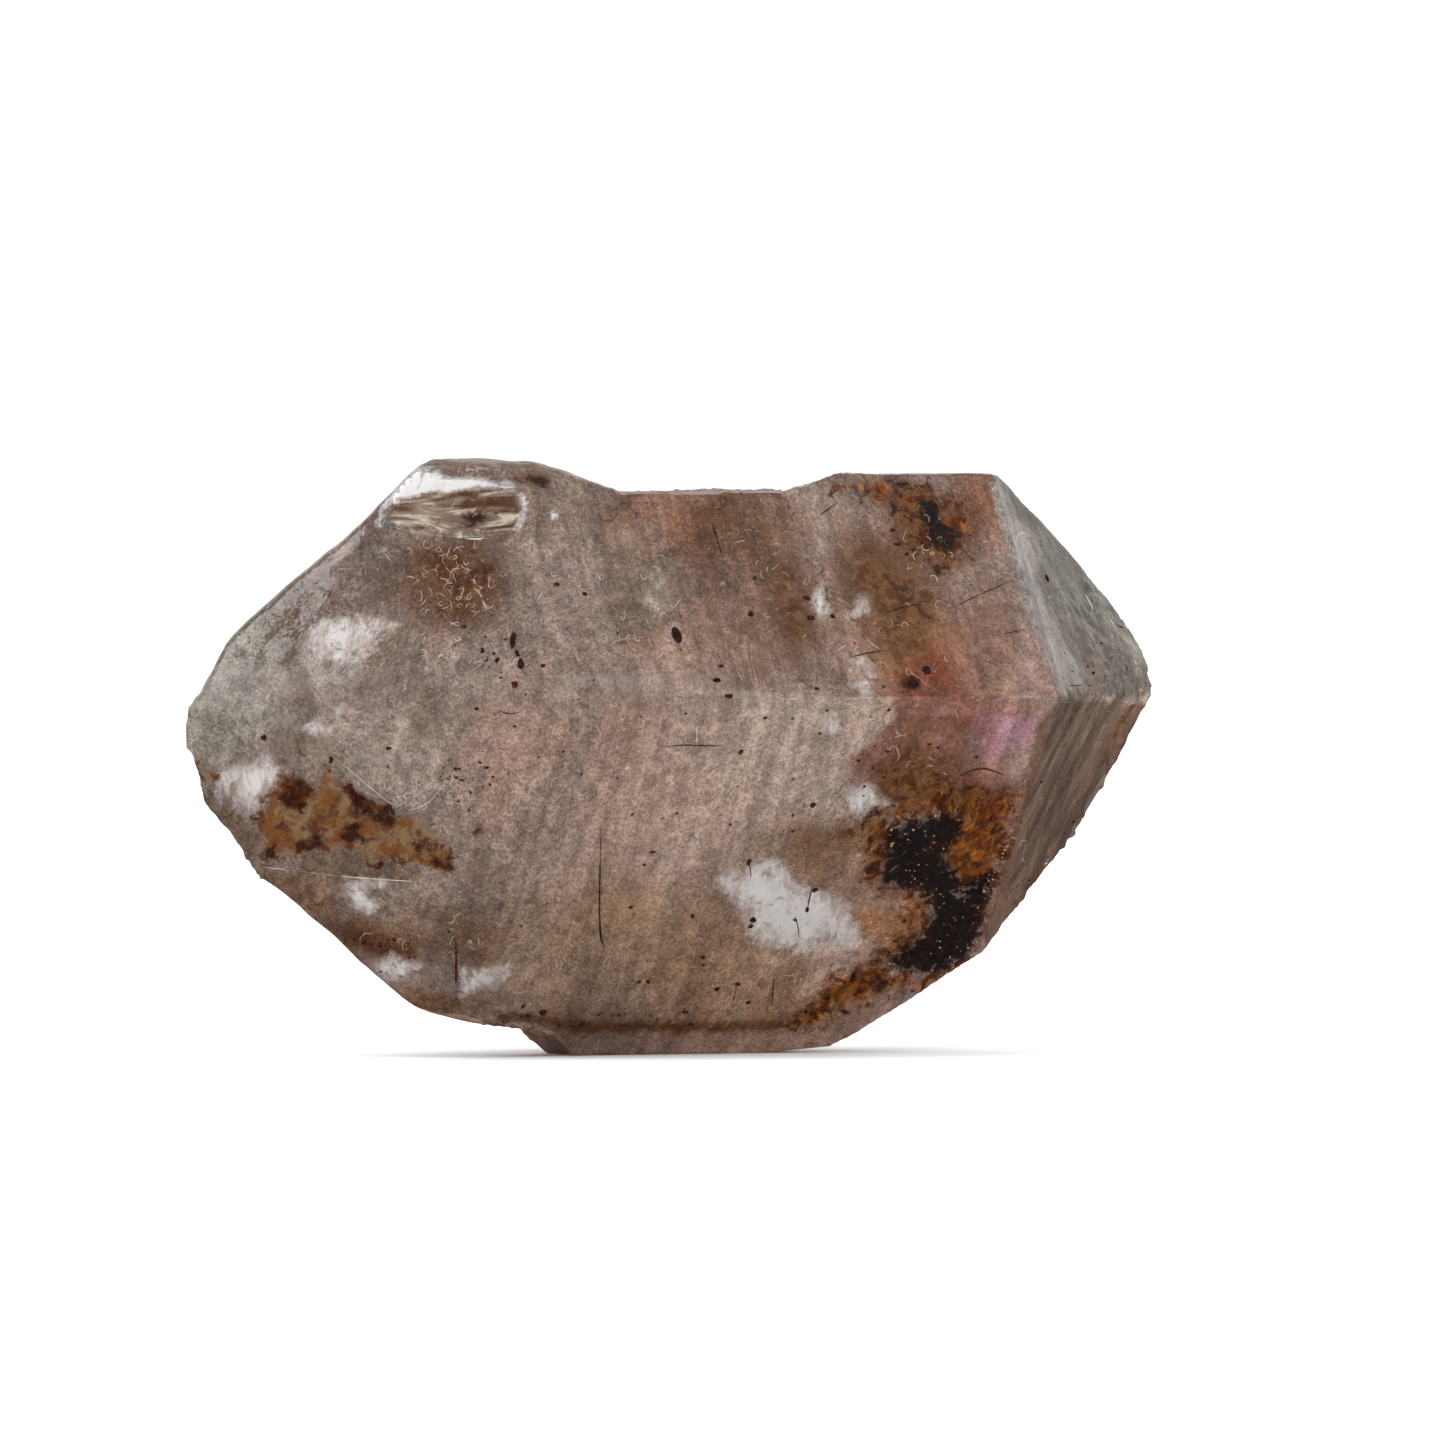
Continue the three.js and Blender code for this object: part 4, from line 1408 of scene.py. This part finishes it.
# Dark grains: across, up, width and height.
FLECKS = (
    (1.8, 20.85, 0.55, 1.05),
    (-6.4, 20.6, 0.32, 1.0),
    (-6.0, 19.4, 0.36, 0.65),
    (-6.2, 20.0, 0.2, 0.25),
    (-7.9, 20.1, 0.25, 0.3),
    (-7.2, 19.6, 0.25, 0.3),
    (-4.9, 19.3, 0.25, 0.2),
    (-6.3, 18.4, 0.4, 0.35),
    (-4.2, 23.4, 0.35, 0.25),
    (-2.8, 22.9, 0.3, 0.2),
    (5.7, 23.7, 0.25, 0.2),
    (5.5, 21.9, 0.35, 0.3),
    (8.3, 22.7, 0.4, 0.3),
    (8.5, 21.7, 0.5, 0.35),
    (9.6, 21.8, 0.3, 0.2),
    (4.0, 19.3, 0.25, 0.2),
    (3.8, 18.6, 0.5, 0.3),
    (4.4, 17.8, 0.55, 0.25),
    (6.2, 16.7, 0.3, 0.2),
    (5.0, 15.0, 0.3, 0.3),
    (8.6, 12.35, 0.4, 0.3),
    (0.6, 10.0, 0.35, 0.15),
    (-0.5, 7.25, 0.4, 0.2),
    (2.6, 6.8, 0.25, 0.25),
    (3.1, 4.75, 0.3, 0.2),
    (0.35, 3.5, 0.25, 0.2),
    (-0.1, 3.5, 0.25, 0.2),
    (3.8, 3.15, 0.3, 0.25),
    (4.8, 3.4, 0.35, 0.2),
    (5.4, 2.5, 0.3, 0.2),
    (-5.9, 2.3, 0.3, 0.25),
    (-4.9, 2.0, 0.5, 0.35),
    (-2.9, 1.5, 0.35, 0.25),
    (2.2, 2.0, 0.35, 0.2),
    (2.5, 1.4, 0.25, 0.2),
    (-18.85, 15.7, 0.3, 0.4),
    (-15.5, 14.6, 0.2, 0.5),
    (-12.6, 15.2, 0.25, 0.2),
    (5.6, 6.6, 0.4, 0.3),
    (5.5, 6.3, 0.3, 0.3),
    (8.7, 8.1, 0.35, 0.3),
    (8.3, 7.1, 0.2, 0.3),
    (7.7, 6.6, 0.3, 0.2),
    (5.4, 9.5, 0.3, 0.35),
    (14.3, 19.1, 0.5, 0.5),
    (13.6, 18.4, 0.7, 0.5),
    (12.6, 26.1, 0.35, 0.25),
    (12.8, 25.4, 0.3, 0.2),
    (13.3, 24.9, 0.2, 0.15),
    (20.3, 23.7, 0.3, 0.45),
)


def fleck(across, up, width, height):
    """A grain that just reaches the surface."""
    point, normal, _ = surface_at(across, up)
    bpy.ops.mesh.primitive_ico_sphere_add(subdivisions=2, radius=0.5 * MM)
    piece = bpy.context.object
    piece.scale = (width, height, min(width, height) * 0.7)
    bpy.ops.object.transform_apply(location=False, rotation=False, scale=True)
    place_against(piece, point - normal * (min(width, height) * 0.1 * MM), normal)
    return piece


def dark_material():
    material, nodes, shader = new_material("iron oxide grains")
    coords = nodes.object_coords()
    grain = nodes.noise(coords, 5000, 3, 0.6)
    colour = nodes.blend(nodes.step(grain, 0.5, 0.7), rgba(settings().iron_oxide), (0.14, 0.014, 0.008, 1))
    nodes.set(shader["Base Color"], colour)
    shader["Roughness"].default_value = 0.8
    shader["Specular IOR Level"].default_value = 0.1
    return material


# Where tiny dark grains are sprinkled: across, up, half width, half height, count.
SPRINKLED = (
    (-9.0, 13.6, 2.0, 1.2, 34),
    (-8.0, 20.1, 1.5, 1.5, 12),
    (13.0, 15.6, 3.0, 2.5, 20),
    (14.6, 25.8, 1.6, 1.6, 16),
    (14.2, 12.4, 3.0, 0.8, 16),
    (22.0, 20.0, 3.0, 3.0, 10),
    (20.5, 11.5, 2.0, 4.0, 8),
    (-3.0, 1.7, 4.0, 0.5, 18),
    (-12.0, 5.2, 2.5, 1.2, 14),
    (-12.8, 5.5, 1.8, 0.5, 26),
    (0.0, 14.0, 18.0, 12.0, 90),
)


def sprinkled_grains():
    dice = random.Random(5)
    grains = []
    for across, up, half_width, half_height, count in SPRINKLED:
        for _ in range(count):
            size = dice.choice((0.05, 0.07, 0.1, 0.14))
            x = across + dice.gauss(0, 0.5) * half_width
            y = up + dice.gauss(0, 0.5) * half_height
            grains.append(fleck(x, y, size * dice.uniform(1, 2), size))
    return grains


class CRYSTAL_OT_dark_flecks(bpy.types.Operator):
    """Scatter the dark mineral grains sealed near the surface"""
    bl_idname = "crystal.dark_flecks"
    bl_label = "Dark Flecks"

    def execute(self, context):
        deselect_all()
        piece = join([fleck(*row) for row in FLECKS] + sprinkled_grains(), "dark_flecks")
        displace(piece, "ragged grains", 0.12 * MM, 0.2 * MM)
        apply_modifiers(piece)
        finish_piece(piece, dark_material())
        return {"FINISHED"}


def floor_material():
    """Pale and matt. The crystal's gloss mirrors it darker, as it would past a dark screen."""
    material, nodes, shader = new_material("pale floor")
    grain = nodes.noise(nodes.object_coords(), 60, 3, 0.5)
    colour = nodes.blend(grain, (0.93, 0.93, 0.93, 1), (0.95, 0.95, 0.95, 1))
    ray = nodes.add("ShaderNodeLightPath", {}).outputs
    gloss = nodes.math("MULTIPLY", ray["Is Glossy Ray"], ray["Is Reflection Ray"])
    nodes.set(shader["Base Color"], nodes.blend(gloss, colour, (0.06, 0.06, 0.06, 1)))
    shader["Roughness"].default_value = 0.7
    shader["Specular IOR Level"].default_value = 0.1
    return material


def area_light(name, size, power, place, target):
    data = bpy.data.lights.new(name, "AREA")
    data.shape = "RECTANGLE"
    data.size, data.size_y = size
    data.energy = power
    light = bpy.data.objects.new(name, data)
    light.location = place
    light.rotation_euler = (Vector(place) - Vector(target)).to_track_quat("Z", "Y").to_euler()
    bpy.context.scene.collection.objects.link(light)


def room_world():
    """White behind the crystal, a soft bright room around it, and dark screens for its gloss to mirror."""
    world = bpy.data.worlds.new("soft room")
    world.use_nodes = True
    nodes = Tree(world.node_tree)
    direction = nodes.add("ShaderNodeTexCoord", {}).outputs["Generated"]
    split = nodes.add("ShaderNodeSeparateXYZ", {"Vector": direction})
    room = nodes.step(split.outputs["Z"], -0.1, 0.9, 0.8, 1.7)
    screens = nodes.step(split.outputs["Z"], 0.35, 0.95, 0.06, 0.3)
    ray = nodes.add("ShaderNodeLightPath", {}).outputs
    gloss = nodes.math("MULTIPLY", ray["Is Glossy Ray"], ray["Is Reflection Ray"])
    strength = nodes.number_blend(gloss, room, screens)
    strength = nodes.number_blend(ray["Is Camera Ray"], strength, 1.1)
    background = world.node_tree.nodes["Background"]
    background.inputs["Color"].default_value = (1, 1, 1, 1)
    nodes.set(background.inputs["Strength"], strength)
    return world


class CRYSTAL_OT_stage(bpy.types.Operator):
    """Set the pale floor, the soft lights and the camera"""
    bl_idname = "crystal.stage"
    bl_label = "Stage"

    def execute(self, context):
        deselect_all()
        bpy.ops.mesh.primitive_circle_add(vertices=96, radius=6, fill_type="NGON", location=(0, 0, 0))
        floor = context.object
        floor.name = "floor"
        floor.data.materials.append(floor_material())
        middle = (0, 0, 0.015)
        area_light("key", (0.6, 0.6), 4, (-0.6, 0.15, 0.85), middle)
        area_light("front fill", (0.5, 0.3), 1.2, (0.35, -0.9, 0.35), middle)
        area_light("back rim", (1.4, 0.8), 3, (0.35, 0.7, 0.5), middle)
        context.scene.world = room_world()
        camera_data = bpy.data.cameras.new("camera")
        camera_data.lens = LENS
        camera_data.sensor_width = SENSOR
        camera_data.clip_start = 0.01
        camera_data.clip_end = 20
        camera = bpy.data.objects.new("camera", camera_data)
        camera.location = MAIN_SIGHT.eye
        camera.rotation_euler = MAIN_SIGHT.back.to_track_quat("Z", "Y").to_euler()
        context.scene.collection.objects.link(camera)
        context.scene.camera = camera
        context.scene.view_settings.view_transform = "Standard"
        context.scene.cycles.use_denoising = True
        context.scene.cycles.max_bounces = 8
        context.scene.cycles.transmission_bounces = 6
        context.scene.cycles.diffuse_bounces = 2
        context.scene.cycles.transparent_max_bounces = 8
        return {"FINISHED"}


class CRYSTAL_PT_panel(bpy.types.Panel):
    bl_label = "Smoky Amethyst Point"
    bl_idname = "CRYSTAL_PT_panel"
    bl_space_type = "VIEW_3D"
    bl_region_type = "UI"
    bl_category = "Crystal"

    def draw(self, context):
        layout = self.layout
        for name in CrystalSettings.__annotations__:
            layout.prop(settings(), name)
        for operator in OPERATORS:
            layout.operator(operator.bl_idname)


OPERATORS = (
    CRYSTAL_OT_body,
    CRYSTAL_OT_veils,
    CRYSTAL_OT_pearly_cracks,
    CRYSTAL_OT_oxide_mass,
    CRYSTAL_OT_iron_stains,
    CRYSTAL_OT_dark_flecks,
    CRYSTAL_OT_hairs,
    CRYSTAL_OT_nicks,
    CRYSTAL_OT_stage,
)
CLASSES = (CrystalSettings, *OPERATORS, CRYSTAL_PT_panel)


def register():
    for cls in CLASSES:
        bpy.utils.register_class(cls)
    bpy.types.Scene.crystal_point = bpy.props.PointerProperty(type=CrystalSettings)


def unregister():
    del bpy.types.Scene.crystal_point
    for cls in reversed(CLASSES):
        bpy.utils.unregister_class(cls)


def main():
    register()
    bpy.ops.crystal.body()
    bpy.ops.crystal.veils()
    bpy.ops.crystal.pearly_cracks()
    bpy.ops.crystal.oxide_mass()
    bpy.ops.crystal.iron_stains()
    bpy.ops.crystal.dark_flecks()
    bpy.ops.crystal.hairs()
    bpy.ops.crystal.nicks()
    bpy.ops.crystal.stage()


if __name__ == "__main__":
    main()
